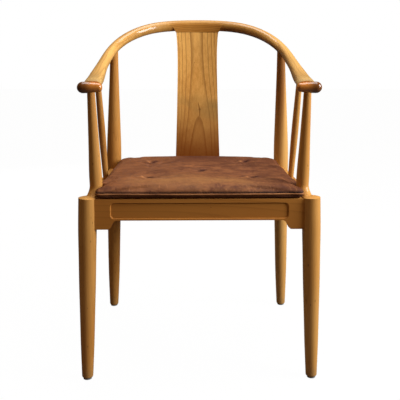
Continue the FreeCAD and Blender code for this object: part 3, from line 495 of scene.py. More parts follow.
@dataclass(frozen=True)
class RailWearAndShade:
    """What hands and years did to the top rail: dark scrolls, grey arms and a browner back; and painted shade
    in the scroll creases, on the land and on the inner lower side of the right half.

    An edge is where a mark starts and where it is full, from the crease behind the scroll knob or from the
    rail's own end, top or back.
    """

    bend: Bend
    scroll: float = 24.0 * MM
    spot: Cloud = Cloud(70.0, 3.0)
    rail: Cloud = Cloud(9.0, stretch=(2.0, 1.0, 2.0))
    grip_edge: Edge = mm(-1.0, -8.0)
    grip_under: Edge = mm(10.0, 2.0)
    under_edge: Edge = mm(22.8, 18.0)
    grip_wander: float = 3.0 * MM
    knob_edge: Edge = mm(-36.0, -14.0)
    knob_foot: Edge = mm(12.0, 1.0)
    pale_edge: Edge = mm(100.0, 10.0)
    pale_wander: float = 40.0 * MM
    grey_edge: Edge = mm(26.0, -2.0)
    grey_wander: float = 20.0 * MM
    crease_shade_place: float = -4.0 * MM
    crease_shade_edge: Edge = mm(3.5, 0.5)
    fold_height: Edge = mm(18.0, 22.0)
    back_edge: Edge = mm(-200.0, -70.0)
    back_slant: float = 0.10
    shade_edge: Edge = mm(3.0, -8.0)
    shade_side: Edge = mm(30.0, 100.0)
    shade_start: Edge = mm(0.0, 80.0)
    land_top: Edge = mm(-4.0, -12.0)
    land_side: Edge = mm(85.0, 62.0)
    land_back: Edge = mm(-60.0, -30.0)
    land_ring: float = 6.2 * MM
    land_curve: float = 1.1

    def dress(self, surface: Surface) -> None:
        """Adds the marks of use and the painted shade to the rail's finish."""
        bench, cherry = surface.bench, surface.cherry
        low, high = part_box("top_rail")
        x, y, z = bench.place()
        spot = self.spot.over(bench, x, y, z)
        crease = low.y + self.scroll
        near = y + spot * self.grip_wander
        grip = near.near(crease, self.grip_edge)
        grip = grip.at_least(z.near(low.z, self.under_edge) * near.near(crease, self.grip_under))
        free = 1 - grip
        knob = bench.mix(x.size().near(high.x, self.knob_edge), cherry.rubbed, cherry.hand_patina_and_shade)
        knob = bench.mix(spot * 1.4, knob, cherry.hand_patina_and_shade)
        # the knob darker towards its bottom
        knob = bench.mix(z.near(low.z, self.knob_foot) * 0.5, knob, cherry.seam)
        surface.lay(grip * 0.94, knob)
        surface.lay((y + spot * self.pale_wander).near(crease, self.pale_edge) * free * 0.4, cherry.straw_and_highlight)
        handled = (y + spot * self.grey_wander).near(crease, self.grey_edge) * free
        surface.lay(handled * (spot * 1.4 + 0.55), cherry.grey)
        # painted shade in the crease between each arm and its scroll knob
        crease_shade = (y - crease - self.crease_shade_place).size().ease(*self.crease_shade_edge) * z.near(low.z, self.fold_height)
        surface.lay(crease_shade * 0.7, cherry.hand_patina_and_shade)
        # darker and browner towards the rail's back
        back = (y - x * self.back_slant).near(high.y, self.back_edge)
        surface.lay(back * (spot * 0.6 + 0.56), cherry.back_brown)
        # painted shade on the inner lower side of the rail's right half
        outwards, over, _ = self.bend.coordinates(bench)
        shaded = (outwards * 0.6 + over * 0.8 + spot * 0.004).ease(*self.shade_edge) * free
        shaded = shaded * x.ease(*self.shade_side) * y.near(crease, self.shade_start)
        surface.lay(shaded * 0.8, cherry.seam)
        # painted shade on the land at the back of the rail's middle, which faces down; the lines drawn on it
        # next are grain
        land = z.near(high.z, self.land_top) * x.size().ease(*self.land_side) * y.near(high.y, self.land_back)
        surface.lay(land * (self.rail.over(bench, x, y, z) * 0.5 + 0.54), cherry.deep)
        smile = ((z - x * x * self.land_curve + spot * self.grip_wander) / self.land_ring).part()
        surface.lay(land * smile.ease(0.45, 0.9) * smile.ease(1.0, 0.92) * 0.30, cherry.seam)
        surface.roughness = surface.roughness - grip * 0.18


@dataclass(frozen=True)
class SplatWearAndShade:
    """The splat's darkened lower part, partly patina and partly painted shade beside the cushion, the faint
    grey band across its middle and its knot.

    Heights of the foot and the band are shares of the splat's own.
    """

    cloud: Cloud = Cloud(16.0, 3.0, stretch=(1.0, 1.0, 2.0))
    smudge: Cloud = Cloud(34.0, 2.0, stretch=(0.8, 1.0, 1.2), shift=(0.0, 0.0, 4.0))
    wander: float = 40.0 * MM
    foot_shade_and_patina: Edge = (0.62, 0.06)
    band_low: Edge = (0.35, 0.44)
    band_high: Edge = (0.57, 0.47)
    band_slant: float = 0.22
    knot: tuple[float, float] = mm(6.2, 573.5)
    knot_edge: Edge = mm(4.2, 1.2)
    stem_rise: float = 23.0 * MM
    stem_fall: float = 19.0 * MM
    stem_drift: float = 5.5 * MM
    stem_width: Edge = mm(2.0, 0.6)
    stem_foot: Edge = mm(-1.0, 1.0)
    stem_tip: Edge = mm(1.0, -12.0)
    dullness: float = 0.08

    def dress(self, surface: Surface) -> None:
        """Adds the lower part's patina and painted shade, the grey band and the knot to the splat's finish.
        """
        bench, cherry = surface.bench, surface.cherry
        low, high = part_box("splat")
        tall = high.z - low.z
        x, y, z = bench.place()
        height = (z + self.cloud.over(bench, x, y, z) * self.wander - low.z) / tall
        # the lower splat darker: partly patina, partly painted shade beside the cushion
        surface.lay(height.ease(*self.foot_shade_and_patina) * 0.95, cherry.foot_shade_and_patina)
        fall = height + x * (self.band_slant / tall)
        band = fall.ease(*self.band_low) * fall.ease(*self.band_high)
        smudge = self.smudge.over(bench, x, y, z) * 2.4 + x * 9.0 + 0.6
        surface.lay(band * smudge.at_most(1.1) * 0.5, cherry.olive)
        knot_x, knot_z = self.knot
        aside, over = x - knot_x, z - knot_z
        turned = over.at_least(0.0) * (self.stem_drift / self.stem_rise)
        within = over.near(-self.stem_fall, self.stem_foot) * over.near(self.stem_rise, self.stem_tip)
        stem = (aside + turned).size().ease(*self.stem_width) * within
        spot = (aside * aside + over * over).root().ease(*self.knot_edge)
        surface.lay(stem.at_least(spot) * 0.7, cherry.ring_line)
        surface.roughness = surface.roughness + self.dullness


@dataclass(frozen=True)
class FieldStepShading:
    """The painted shadow along the step at the top of the front rail's recessed field, and a painted
    highlight on the rail's top edge.
    """

    half_length: float = 193.0 * MM
    corner: float = 8.5 * MM
    down: float = 8.5 * MM
    step: float = 1.4 * MM
    front: Edge = mm(6.0, 3.0)
    top_highlight: Edge = mm(3.0, 0.6)

    def dress(self, surface: Surface) -> None:
        """Paints the step's shadow on the rail's finish, and a highlight along the rail's top edge."""
        low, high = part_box("front_seat_rail")
        x, y, z = surface.bench.place()
        ends = x.size().near(self.half_length, (-self.corner * 0.3, -self.corner))
        line = (z - (high.z - self.down) + self.step * 0.4).size().ease(self.step, self.step * 0.3)
        # painted shadow along the step at the top of the recessed field
        surface.lay(line * ends * y.near(low.y, self.front) * 0.62, surface.cherry.seam)
        # painted highlight along the rail's rounded top edge
        surface.lay((high.z - z).size().ease(*self.top_highlight) * 0.05, surface.cherry.straw_and_highlight)


@dataclass(frozen=True)
class FootGrime:
    """The dull grey that a leg takes on near the floor."""

    cloud: Cloud = Cloud(60.0, 3.0)
    wander: float = 50.0 * MM
    height: Edge = mm(45.0, 4.0)

    def dress(self, surface: Surface) -> None:
        """Adds the dull grey scuffs to the leg's finish."""
        x, y, z = surface.bench.place()
        scuff = (z + self.cloud.over(surface.bench, x, y, z) * self.wander).ease(*self.height)
        surface.lay(scuff * 0.35, surface.cherry.grey)
        surface.roughness = surface.roughness + scuff * 0.2


@dataclass(frozen=True)
class Leather:
    """Worn brown aniline leather, lighter where it is rubbed."""

    pale: Colour = paint(138, 86, 49)
    brown: Colour = paint(90, 49, 28)
    dark: Colour = paint(72, 33, 16)
    gold: Colour = paint(144, 98, 54)
    stain: Colour = paint(80, 46, 32)
    rubbed: Colour = paint(176, 118, 70)
    pit_shadow: Colour = paint(54, 15, 4)
    grime_and_shade: Colour = paint(34, 13, 7)
    roughness: float = 0.66
    shine: float = 0.18
    relief: float = 0.5 * MM
    piping_relief: float = 0.4 * MM
    pores: float = 780.0
    broad: Cloud = Cloud(9.0, 3.0, 0.55, (0.7, 1.3, 1.0))
    mottle: Cloud = Cloud(34.0, 4.0, 0.6, (0.8, 1.2, 1.0))
    hide: Cloud = Cloud(210.0, 4.0, 0.65)
    patches: Cloud = Cloud(92.0, 3.0, 0.6, (1.0, 1.3, 1.0), (0.0, 0.0, 7.0))
    golden: Cloud = Cloud(15.0, 3.0, 0.6, (0.8, 1.6, 1.0), (3.0, 0.0, 0.0))
    spill: Cloud = Cloud(20.0, 4.0, 0.6, (0.7, 1.8, 1.0), (0.0, 5.0, 0.0))
    scratch: Cloud = Cloud(60.0, 3.0, 0.6, (1.0, 0.9, 1.0))
    ragged: Cloud = Cloud(120.0, 3.0, 0.7, (1.0, 2.0, 3.0))
    wrinkle: Cloud = Cloud(75.0, 5.0, 0.6, (1.0, 2.4, 1.0))
    rub: Cloud = Cloud(26.0, 3.0, 0.6)
    fine: Cloud = Cloud(420.0, 4.0, 0.65)
    front_edge: Edge = (0.25, -0.75)
    rear_edge: Edge = (0.0, 0.7)
    shade_side: Edge = (0.7, 0.05)
    right_edge: Edge = (0.15, 0.75)
    gold_back: float = -0.72
    gold_width: Edge = (0.36, 0.05)
    gold_ends: tuple[Edge, Edge] = ((0.85, 0.2), (-1.0, -0.4))
    spill_edge: Edge = (0.09, 0.24)
    scratch_edge: Edge = (0.08, 0.20)
    pit_edge: Edge = (0.10, 0.8)
    low_edge: Edge = (-0.35, -0.8)

    def cover(self, name: str) -> Material:
        """Makes the cushion's leather. Edges are shares of its half sizes.

        Args:
            name: The material's name.

        Returns:
            The material.
        """
        low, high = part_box("cushion_cover")
        middle, half = (low + high) / 2, (high - low) / 2
        bench = Bench(name)
        x, y, z = bench.place()
        side = (x - middle.x) / half.x
        back = (y - middle.y) / half.y
        broad, mottle, hide, patches, golden, spill, ragged, wrinkle = (
            cloud.over(bench, x, y, z) for cloud in (self.broad, self.mottle, self.hide, self.patches,
                                                     self.golden, self.spill, self.ragged, self.wrinkle))
        scratch = self.scratch.over(bench, x * 5.0 + y, y, z)
        front = back.ease(*self.front_edge)
        tone = broad * 1.9 + mottle * 2.2 + patches * 1.2 + hide * 1.2 + front * 0.05 - side * 0.16 + 0.36
        shade = back.ease(*self.rear_edge) * (side - 0.08).size().ease(*self.shade_side) * 0.75 + broad * 1.1
        band = (back + side * 0.10 - self.gold_back).size().ease(*self.gold_width)
        for ends in self.gold_ends:
            band = band * side.ease(*ends)
        # painted shade, with some soiling, in the groove above the piping
        seam = (bench.mark("seam") * (ragged * 2.4 + 1.05)).at_most(0.92)
        # painted shade on the cushion's lower sides
        under_shade = ((z - middle.z) / half.z).ease(*self.low_edge)
        colour = bench.mix(tone, self.brown, self.pale)
        for share, over in ((shade, self.dark),
                            (side.ease(*self.right_edge) * 0.28, self.dark),
                            (band * (golden * 2.4 + patches * 1.2 + 0.42), self.gold),
                            (spill.ease(*self.spill_edge) * 0.34, self.stain),
                            (scratch.ease(*self.scratch_edge) * (front * 0.34 + 0.04), self.rubbed),
                            # the groove's painted shade and soiling
                            (seam, self.grime_and_shade),
                            # painted shadow in the tufts' pits
                            (bench.mark("pit").ease(*self.pit_edge) * 0.8, self.pit_shadow),
                            # rubbed leather and a painted highlight on the ridges beside the pits
                            (bench.mark("ridge_rub_and_highlight") * 0.85, self.rubbed),
                            # painted shade on the cushion's lower sides
                            (under_shade * 0.42, self.grime_and_shade)):
            colour = bench.mix(share, colour, over)
        pores = bench.cells(bench.vector(x, y, z), self.pores)
        relief = pores * 0.35 + hide * 0.9 + wrinkle * 1.1 + 0.5
        roughness = hide * 0.25 + mottle * 0.15 + self.roughness
        return bench.finish(colour, roughness, relief, self.relief, {"Specular IOR Level": self.shine})

    def piping(self, name: str) -> Material:
        """Makes the leather of the edge piping, rubbed pale in places.

        Args:
            name: The material's name.

        Returns:
            The material.
        """
        bench = Bench(name)
        place = bench.place()
        fine = self.fine.over(bench, *place)
        rub = self.rub.over(bench, *place) * 1.7 + fine * 0.5 + 0.5
        colour = bench.mix(fine * 2.0 - 0.25, bench.mix(rub, self.brown, self.rubbed), self.grime_and_shade)
        others = {"Specular IOR Level": self.shine}
        return bench.finish(colour, fine * 0.3 + self.roughness, fine + 0.5, self.piping_relief, others)


@dataclass(frozen=True)
class Plain:
    """A plain finish of two close colours with its own fine texture."""

    colour: Colour
    second: Colour
    roughness: float
    metal: float = 0.0
    texture: float = 300.0
    stretch: tuple[float, float, float] = (1.0, 1.0, 1.0)
    relief: float = 0.2 * MM

    def material(self, name: str) -> Material:
        """Makes the finish.

        Args:
            name: The material's name.

        Returns:
            The material.
        """
        bench = Bench(name)
        place = bench.place()
        fine = Cloud(self.texture, 4.0, 0.6, self.stretch).over(bench, *place)
        broad = Cloud(self.texture / 12, 3.0, stretch=self.stretch).over(bench, *place)
        colour = bench.mix(fine * 0.8 + broad + 0.5, self.colour, self.second)
        others = {"Metallic": self.metal}
        return bench.finish(colour, fine * 0.3 + self.roughness, fine + 0.5, self.relief, others)


PLYWOOD = Plain(paint(196, 156, 104), paint(164, 120, 72), 0.6, texture=260.0, stretch=(0.08, 1.0, 3.0))
BEECH = Plain(paint(186, 138, 88), paint(150, 100, 56), 0.6, texture=320.0, stretch=(1.0, 1.0, 0.12))
ZINC = Plain(paint(180, 180, 178), paint(128, 126, 120), 0.34, metal=1.0, texture=900.0)
NYLON = Plain(paint(158, 166, 172), paint(112, 120, 128), 0.5, texture=500.0)
THREAD = Plain(paint(70, 36, 20), paint(38, 18, 10), 0.7, texture=2600.0)


def placed(name: str, data: Any) -> Object:
    """Puts a mesh, a lamp or a camera in the scene as an object of that name."""
    made = bpy.data.objects.new(name, data)
    bpy.context.scene.collection.objects.link(made)
    return made


def points_of(mesh: Mesh) -> np.ndarray:
    """The mesh's points as rows of X, Y and Z."""
    flat = np.empty(len(mesh.vertices) * 3, np.float32)
    mesh.vertices.foreach_get("co", flat)
    return flat.reshape(-1, 3).astype(float)


def directions_of(mesh: Mesh) -> np.ndarray:
    """The way that the surface faces at each of the mesh's points."""
    flat = np.empty(len(mesh.vertices) * 3, np.float32)
    mesh.vertex_normals.foreach_get("vector", flat)
    return flat.reshape(-1, 3).astype(float)


def move_points(mesh: Mesh, places: np.ndarray) -> None:
    """Puts the mesh's points in new places."""
    mesh.vertices.foreach_set("co", places.astype(np.float32).ravel())
    mesh.update()


def evaluated(piece: Object) -> Mesh:
    """The piece's mesh with its modifiers worked into it."""
    depsgraph = bpy.context.evaluated_depsgraph_get()
    return bpy.data.meshes.new_from_object(piece.evaluated_get(depsgraph))


def surface_of(piece: Object) -> BVHTree:
    """The piece's faces, for finding places on them."""
    mesh = piece.data
    return BVHTree.FromPolygons([v.co for v in mesh.vertices], [tuple(p.vertices) for p in mesh.polygons])


def hill(away: np.ndarray) -> np.ndarray:
    """A soft hill of height 1, which is gone at about 2."""
    return np.exp(-away ** 2)


class Tree(Nodes):
    """A Geometry Nodes tree with named inputs, ended by Realize Instances and Set Material."""

    def __init__(self, name: str) -> None:
        """Starts the tree with its geometry input and output."""
        super().__init__(bpy.data.node_groups.new(name, "GeometryNodeTree"))
        for way in ("INPUT", "OUTPUT"):
            self.tree.interface.new_socket("Geometry", in_out=way, socket_type="NodeSocketGeometry")
        self.start = self.tree.nodes.new("NodeGroupInput")
        self.end = self.tree.nodes.new("NodeGroupOutput")
        self.sizes: dict[str, float] = {}

    def size(self, name: str, value: float) -> NodeSocket:
        """Adds a named input for a size.

        Args:
            name: The input's name.
            value: Its value.

        Returns:
            The socket that gives it inside the tree.
        """
        made = self.tree.interface.new_socket(name, in_out="INPUT", socket_type="NodeSocketFloat")
        made.default_value = value
        self.sizes[made.identifier] = value
        return self.start.outputs[name]

    def line(self, spacing: NodeSocket) -> NodeSocket:
        """Turns the input into a curve with evenly spaced points."""
        curve = self.add("GeometryNodeMeshToCurve", inputs={0: self.start.outputs[0]})
        return self.add("GeometryNodeResampleCurve", {"mode": "LENGTH"}, {"Curve": curve, "Length": spacing})

    def grow(self, name: str, shape: NodeSocket, material: Material,
             points: Iterable[Vector], ring: bool) -> Object:
        """Ends the tree, runs it on points and keeps the result as a plain mesh.

        Args:
            name: The piece's name.
            shape: What the tree has made.
            material: Its finish.
            points: The points that the tree works on.
            ring: Whether a closed line joins them.

        Returns:
            The piece.
        """
        real = self.add("GeometryNodeRealizeInstances", inputs={0: shape})
        smooth = self.add("GeometryNodeSetShadeSmooth", inputs={0: real})
        dressed = self.add("GeometryNodeSetMaterial", inputs={"Geometry": smooth, "Material": material})
        self.tree.links.new(dressed, self.end.inputs[0])
        places = list(points)
        edges = [(number, (number + 1) % len(places)) for number in range(len(places))] if ring else []
        mesh = bpy.data.meshes.new(name + "_points")
        mesh.from_pydata(places, edges, [])
        carrier = placed(name + "_points", mesh)
        modifier = carrier.modifiers.new("grown", "NODES")
        modifier.node_group = self.tree
        for identifier, value in self.sizes.items():
            modifier[identifier] = value
        result = evaluated(carrier)
        bpy.data.objects.remove(carrier)
        return placed(name, result)


@dataclass
class Frame:
    """The wooden chair and what holds it together, which keep their own shapes."""

    loaded: dict[str, Any]
    cherry: Cherry = field(default_factory=Cherry)
    rail_out: float = 21.5 * MM
    rail_half_width: float = 13.0 * MM
    rail_half_depth: float = 14.7 * MM
    scroll_radius: float = 12.0 * MM
    arm_over_scroll: float = 15.5 * MM

    def bend(self) -> Bend:
        """The plan of the horseshoe, read from the rail's corners."""
        low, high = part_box("top_rail")
        radius = high.x - self.rail_out
        back = high.y - self.rail_half_width
        arm = low.z + self.arm_over_scroll
        front = low.y + self.scroll_radius
        return Bend(radius, back - radius, arm, high.z - self.rail_half_depth - arm, front, back)

    def grains(self) -> dict[str, Grain]:
        """How each wooden piece was cut."""
        up, across, deep = Run.UP, Run.ACROSS, Run.DEEP
        return {
            "top_rail": Grain(Run.BENT, (0.045, 0.028), 0.0052, 0.36, wander=0.004, tone=0.42, redness=-0.08,
                              bleached=0.30, streaks=0.6, shine=0.16, coat=0.7, polish=0.06, relief=0.01 * MM,
                              seed=0.4),
            "splat": Grain(up, (0.0045, 0.040), 0.011, 0.66, lean=0.09, first=0.029, crowd=0.051,
                           close=0.0066, line=0.32, wash=0.12, wander=0.0016, tone=0.2, streaks=1.1,
                           apex=0.379, bow=0.243, veer=0.03, redness=-0.10, bleached=0.16,
                           shine=0.12, coat=0.06, fibres=0.9, flat=True, seed=1.0),
            "front_leg_right": Grain(up, (-0.03, 0.05), 0.004, 0.16, tone=0.5, redness=0.2, shine=0.2,
                                     coat=0.16, specks=1.5, seed=2.0),
            "front_leg_left": Grain(up, (0.05, 0.04), 0.005, 0.16, tone=0.9, redness=0.3, shine=0.18,
                                    coat=0.12, specks=1.3, seed=3.0),
            "rear_leg_right": Grain(up, (-0.04, 0.05), 0.005, 0.16, tone=0.8, redness=0.14, bleached=0.3,
                                    shine=0.16, coat=0.12, painted_side_shade=0.75, seed=4.0),
            "rear_leg_left": Grain(up, (0.02, 0.055), 0.004, 0.16, tone=0.2, redness=0.28, shine=0.12,
                                   coat=0.08, specks=1.2, seed=5.0),
            "spindle_right": Grain(up, (0.03, 0.03), 0.003, 0.14, tone=0.3, redness=-0.05, seed=6.0),
            "spindle_left": Grain(up, (-0.03, 0.03), 0.003, 0.14, seed=7.0),
            "front_seat_rail": Grain(across, (-0.012, 0.03), 0.012, 0.16, lean=0.06, wander=0.016,
                                     redness=0.47, bleached=-0.1, tone=0.8, streaks=0.35, shine=0.06,
                                     coat=0.03, seed=8.0),
            "rear_seat_rail": Grain(across, (0.01, 0.03), 0.007, 0.2, lean=-0.04, seed=9.0),
            "side_seat_rail_right": Grain(deep, (0.03, 0.02), 0.006, 0.2, seed=10.0),
            "side_seat_rail_left": Grain(deep, (-0.03, 0.02), 0.006, 0.2, seed=11.0),
        }

    def build(self) -> None:
        """Gives every piece of the frame its finish."""
        bend = self.bend()
        wears_and_shades = {"top_rail": RailWearAndShade(bend), "splat": SplatWearAndShade(), "front_seat_rail": FieldStepShading()}
        for name, grain in self.grains().items():
            low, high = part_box(name)
            middle = (low + high) / 2
            middle.z = low.z + (high.z - low.z) * grain.apex
            wear_and_shade = wears_and_shades.get(name, FootGrime() if "leg" in name else None)
            self.coat(name, self.cherry.wood(name + "_cherry", grain, middle, bend, wear_and_shade))
        self.coat("seat_panel", PLYWOOD.material("seat_plywood"))
        self.coat("foot_glides", NYLON.material("grey_nylon"))
        beech = BEECH.material("block_beech")
        zinc = ZINC.material("zinc_plate")
        for name in self.loaded["nodes"]:
            if name.endswith(("screws", "nails")):
                self.coat(name, zinc)
            elif name.startswith("corner_block"):
                self.coat(name, beech)

    def coat(self, name: str, material: Material) -> None:
        """Gives one piece of the frame a finish."""
        mesh = self.loaded["nodes"][name].data
        mesh.materials.clear()
        mesh.materials.append(material)
        log.info("%s: finish %s", name, material.name)


@dataclass
class Cushion:
    """The loose leather cushion: its padded cover, the piping round its edge and its tufts."""

    loaded: dict[str, Any]
    leather: Leather = field(default_factory=Leather)
    pad: Object = field(init=False)
    seam: list[Vector] = field(init=False)
    voxel: float = 4.5 * MM
    weld: float = 0.01 * MM
    pressure: float = 4.0
    frames: int = 20
    held_above_floor: float = 2.0 * MM
    tuft_hold: float = 7.0 * MM
    swell: float = 3.6 * MM
    leather_t: float = 1.7 * MM
    fill: float = 0.45
    sag: float = 6.5 * MM
    sag_forward: float = 10.0 * MM
    sag_depth_share: float = 0.92
    tuft_apart: float = 30.0 * MM
    middle_forward: float = 34.0 * MM
    bowl_radius: float = 28.0 * MM
    bowl_fill: float = 6.5 * MM
    pit_depth: float = 5.0 * MM
    pit_radius: float = 8.5 * MM
    pit_shade: tuple[float, float] = mm(9.0, 5.0)
    pit_shade_stretch: tuple[float, float] = (0.8, 1.1)
    fold_height: float = 0.35 * MM
    fold_reach: float = 26.0 * MM
    ridge_place: tuple[float, float] = mm(-11.0, 2.0)
    ridge_stretch: float = 0.75
    ridge_radius: float = 5.1 * MM
    ridge_rise: float = 2.6 * MM
    ridge_shine: tuple[float, ...] = (1.0, 0.6, 0.0, 0.55, 0.65)
    seam_height: float = 9.8 * MM
    seam_lift: float = 3.0 * MM
    seam_rays: int = 900
    seam_passes: int = 6
    groove: float = 1.3 * MM
    groove_reach: float = 3.2 * MM
    pucker: float = 0.7 * MM
    pucker_reach: float = 16.0 * MM
    ripple: float = 1.0 * MM
    groove_grime_and_shade_above: float = 2.0 * MM
    groove_grime_and_shade_reach: float = 4.2 * MM
    piping_radius: float = 1.9 * MM
    piping_step: float = 2.2 * MM
    stitch_above: float = 4.18 * MM
    stitch_gap: float = 5.5 * MM
    stitch_length: float = 3.4 * MM
    stitch_radius: float = 0.35 * MM
    thread_radius: float = 0.6 * MM
    thread_length: float = 7.0 * MM
    thread_turns: tuple[float, float] = (0.5, -0.6)

    def ties(self) -> list[Vector]:
        """The middle of each tuft's tie."""
        groups: list[list[Vector]] = []
        for point in self.loaded["nodes"]["tuft_ties"].data.vertices:
            near = next((g for g in groups if (g[0].xy - point.co.xy).length < self.tuft_apart), None)
            if near is None:
                groups.append([point.co.copy()])
            else:
                near.append(point.co.copy())
        return [sum(group, Vector()) / len(group) for group in groups]

    def spots(self) -> list[Vector]:
        """Where the tufts show, the central one drawn forwards."""
        spots = self.ties()
        central = min(spots, key=lambda spot: abs(spot.x))
        central.y -= self.middle_forward
        return spots

    def start(self) -> None:
        """Makes the cushion's padded body, blown up against its tufts by a cloth simulation."""
        source = placed("pad_source", self.loaded["nodes"]["cushion_core"].data.copy())
        weld = source.modifiers.new("weld", "WELD")
        weld.merge_threshold = self.weld
        remesh = source.modifiers.new("remesh", "REMESH")
        remesh.mode = "VOXEL"
        remesh.voxel_size = self.voxel
        even = source.modifiers.new("even", "SMOOTH")
        even.factor = 0.5
        even.iterations = 4
        mesh = evaluated(source)
        bpy.data.objects.remove(source)
        mesh.materials.clear()
        self.pad = placed("cushion_leather", mesh)
        self.inflate()

    def inflate(self) -> None:
        """Blows the body up while its underside and its tufts are held."""
        pad = self.pad
        rest = points_of(pad.data)
        held = rest[:, 2] < rest[:, 2].min() + self.held_above_floor
        for spot in self.spots():
            held |= np.hypot(rest[:, 0] - spot.x, rest[:, 1] - spot.y) < self.tuft_hold
        group = pad.vertex_groups.new(name="held")
        group.add(np.flatnonzero(held).tolist(), 1.0, "REPLACE")
        cloth = pad.modifiers.new("blown", "CLOTH")
        cloth.settings.use_pressure = True
        cloth.settings.uniform_pressure_force = self.pressure
        cloth.settings.effector_weights.gravity = 0.0
        cloth.settings.vertex_group_mass = group.name
        scene = bpy.context.scene
        for step in range(1, self.frames + 1):
            scene.frame_set(step)
        move = points_of(evaluated(pad)) - rest
        reach = np.linalg.norm(move, axis=1)
        move *= np.minimum(1.0, self.swell / np.maximum(reach, 1e-9))[:, None]
        pad.modifiers.remove(cloth)
        pad.vertex_groups.clear()
        scene.frame_set(1)
        move_points(pad.data, rest + move)
        log.info("cushion blown up by %.1f mm at most", min(reach.max(), self.swell) / MM)

    def grow(self) -> None:
        """Adds the leather's thickness outside the padding and rounds the mesh off."""
        pad = self.pad
        self.settle(pad.data, points_of(pad.data) + directions_of(pad.data) * self.leather_t)
        round_off = pad.modifiers.new("round", "SUBSURF")
        round_off.levels = round_off.render_levels = 1
        mesh = evaluated(pad)
        pad.modifiers.clear()
        pad.data = mesh
        self.settle(mesh, points_of(mesh))

    def settle(self, mesh: Mesh, places: np.ndarray) -> None:
        """Moves the cushion's points, but none below what it lies on."""
        places[:, 2] = np.maximum(places[:, 2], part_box("cushion_cover")[0].z)
        move_points(mesh, places)

    def follow_seam(self) -> None:
        """Follows the body's edge at the seam's height, once round the cushion."""
        low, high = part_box("cushion_cover")
        middle = (low + high) / 2
        surface = surface_of(self.pad)
        found = []
        for number in range(self.seam_rays):
            turn = 2 * math.pi * number / self.seam_rays
            way = Vector((math.cos(turn), math.sin(turn), 0.0))
            height = low.z + self.seam_height + self.seam_lift * (0.5 + 0.5 * way.y)
            start = Vector((middle.x, middle.y, height)) + way * (high - low).length
            hit = surface.ray_cast(start, -way)[0]
            if hit is not None:
                found.append(tuple(hit))
        ring = np.array(found)
        for _ in range(self.seam_passes):
            ring = (np.roll(ring, 1, 0) + 2 * ring + np.roll(ring, -1, 0)) / 4
        self.seam = [Vector(row) for row in ring]

    def from_seam(self, places: np.ndarray) -> np.ndarray:
        """Measures each point from the seam.

        Args:
            places: The points.

        Returns:
            How far each is from the seam, how far along it, and how high above it.
        """
        seam = self.seam
        tree = KDTree(len(seam))
        lengths = [0.0]
        for number, point in enumerate(seam):
            tree.insert(point, number)
            lengths.append(lengths[-1] + (seam[(number + 1) % len(seam)] - point).length)
        tree.balance()
        found = ((*tree.find(Vector(place)), place[2]) for place in places)
        return np.array([(away, lengths[which], height - near.z) for near, which, away, height in found]).T

    def tufts(self, places: np.ndarray) -> tuple[np.ndarray, np.ndarray, np.ndarray]:
        """Works out the tufts: a filled bowl, a small pit, folds round it and one ridge, rubbed and with a
        painted highlight.

        Args:
            places: The body's points.

        Returns:
            How far they sink the leather, where the pits' painted shadow lies, and where the ridges are
            rubbed and given a painted highlight.
        """
        depth, pit, ridge_rub_and_highlight = np.zeros((3, len(places)))
        for tie in self.ties():
            share = np.hypot(places[:, 0] - tie.x, places[:, 1] - tie.y) / self.bowl_radius
            depth -= self.bowl_fill * np.clip(1 - share ** 2, 0, 1) ** 1.5
        for number, (spot, shine) in enumerate(zip(self.spots(), self.ridge_shine)):
            x, y = places[:, 0] - spot.x, places[:, 1] - spot.y
            radius, turn = np.hypot(x, y), np.arctan2(y, x)
            folds = np.cos(5 * turn + 1.3 * number) + 0.6 * np.cos(3 * turn + 2.1 * number)
            folds *= hill((radius - self.pit_radius) / self.fold_reach)
            folds *= np.clip(radius / self.pit_radius, 0, 1)
            ridge = np.hypot(x - self.ridge_place[0], (y - self.ridge_place[1]) * self.ridge_stretch)
            ridge = hill(ridge / self.ridge_radius) * shine
            depth += hill(radius / self.pit_radius) * self.pit_depth + folds * self.fold_height
            depth -= ridge * self.ridge_rise
            shade = [(way - place) * stretch for way, place, stretch in
                     zip((x, y), self.pit_shade, self.pit_shade_stretch)]
            pit = np.maximum(pit, hill(np.hypot(*shade) / self.pit_radius))
            ridge_rub_and_highlight = np.maximum(ridge_rub_and_highlight, ridge)
        return depth, pit, ridge_rub_and_highlight

    def detail(self) -> None:
        """Sinks the seam's groove, the tufts and the sat-on middle, and puckers and ripples the leather."""
        mesh = self.pad.data
        places, ways = points_of(mesh), directions_of(mesh)
        upward = ways[:, 2] > 0
        top = np.clip((ways[:, 2] - 0.2) / 0.6, 0, 1)
        away, along, above = self.from_seam(places)
        band = hill(away / self.pucker_reach) * (above > 0)
        gather = np.array([noise.noise(Vector((s * 95.0, a * 60.0, 0.3))) for s, a in zip(along, above)])
        wave = np.array([noise.fractal(Vector((x * 9.0, y * 15.0, 1.7)), 0.8, 2.2, 3) for x, y, _ in places])
        low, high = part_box("cushion_cover")
        middle, half = (low + high) / 2, (high - low) / 2
        sideways = np.clip(1 - ((places[:, 0] - middle.x) / half.x) ** 2, 0, 1)
        depthways = (places[:, 1] - middle.y + self.sag_forward) / (half.y * self.sag_depth_share)
        sat = sideways * np.clip(1 - depthways ** 2, 0, 1) * top
        tufts, pit, ridge_rub_and_highlight = self.tufts(places)
        depth = hill(away / self.groove_reach) * self.groove - band * gather * self.pucker
        depth += sat * self.sag + tufts * upward - top * wave * self.ripple * (1 - band)
        self.settle(mesh, places - ways * depth[:, None])
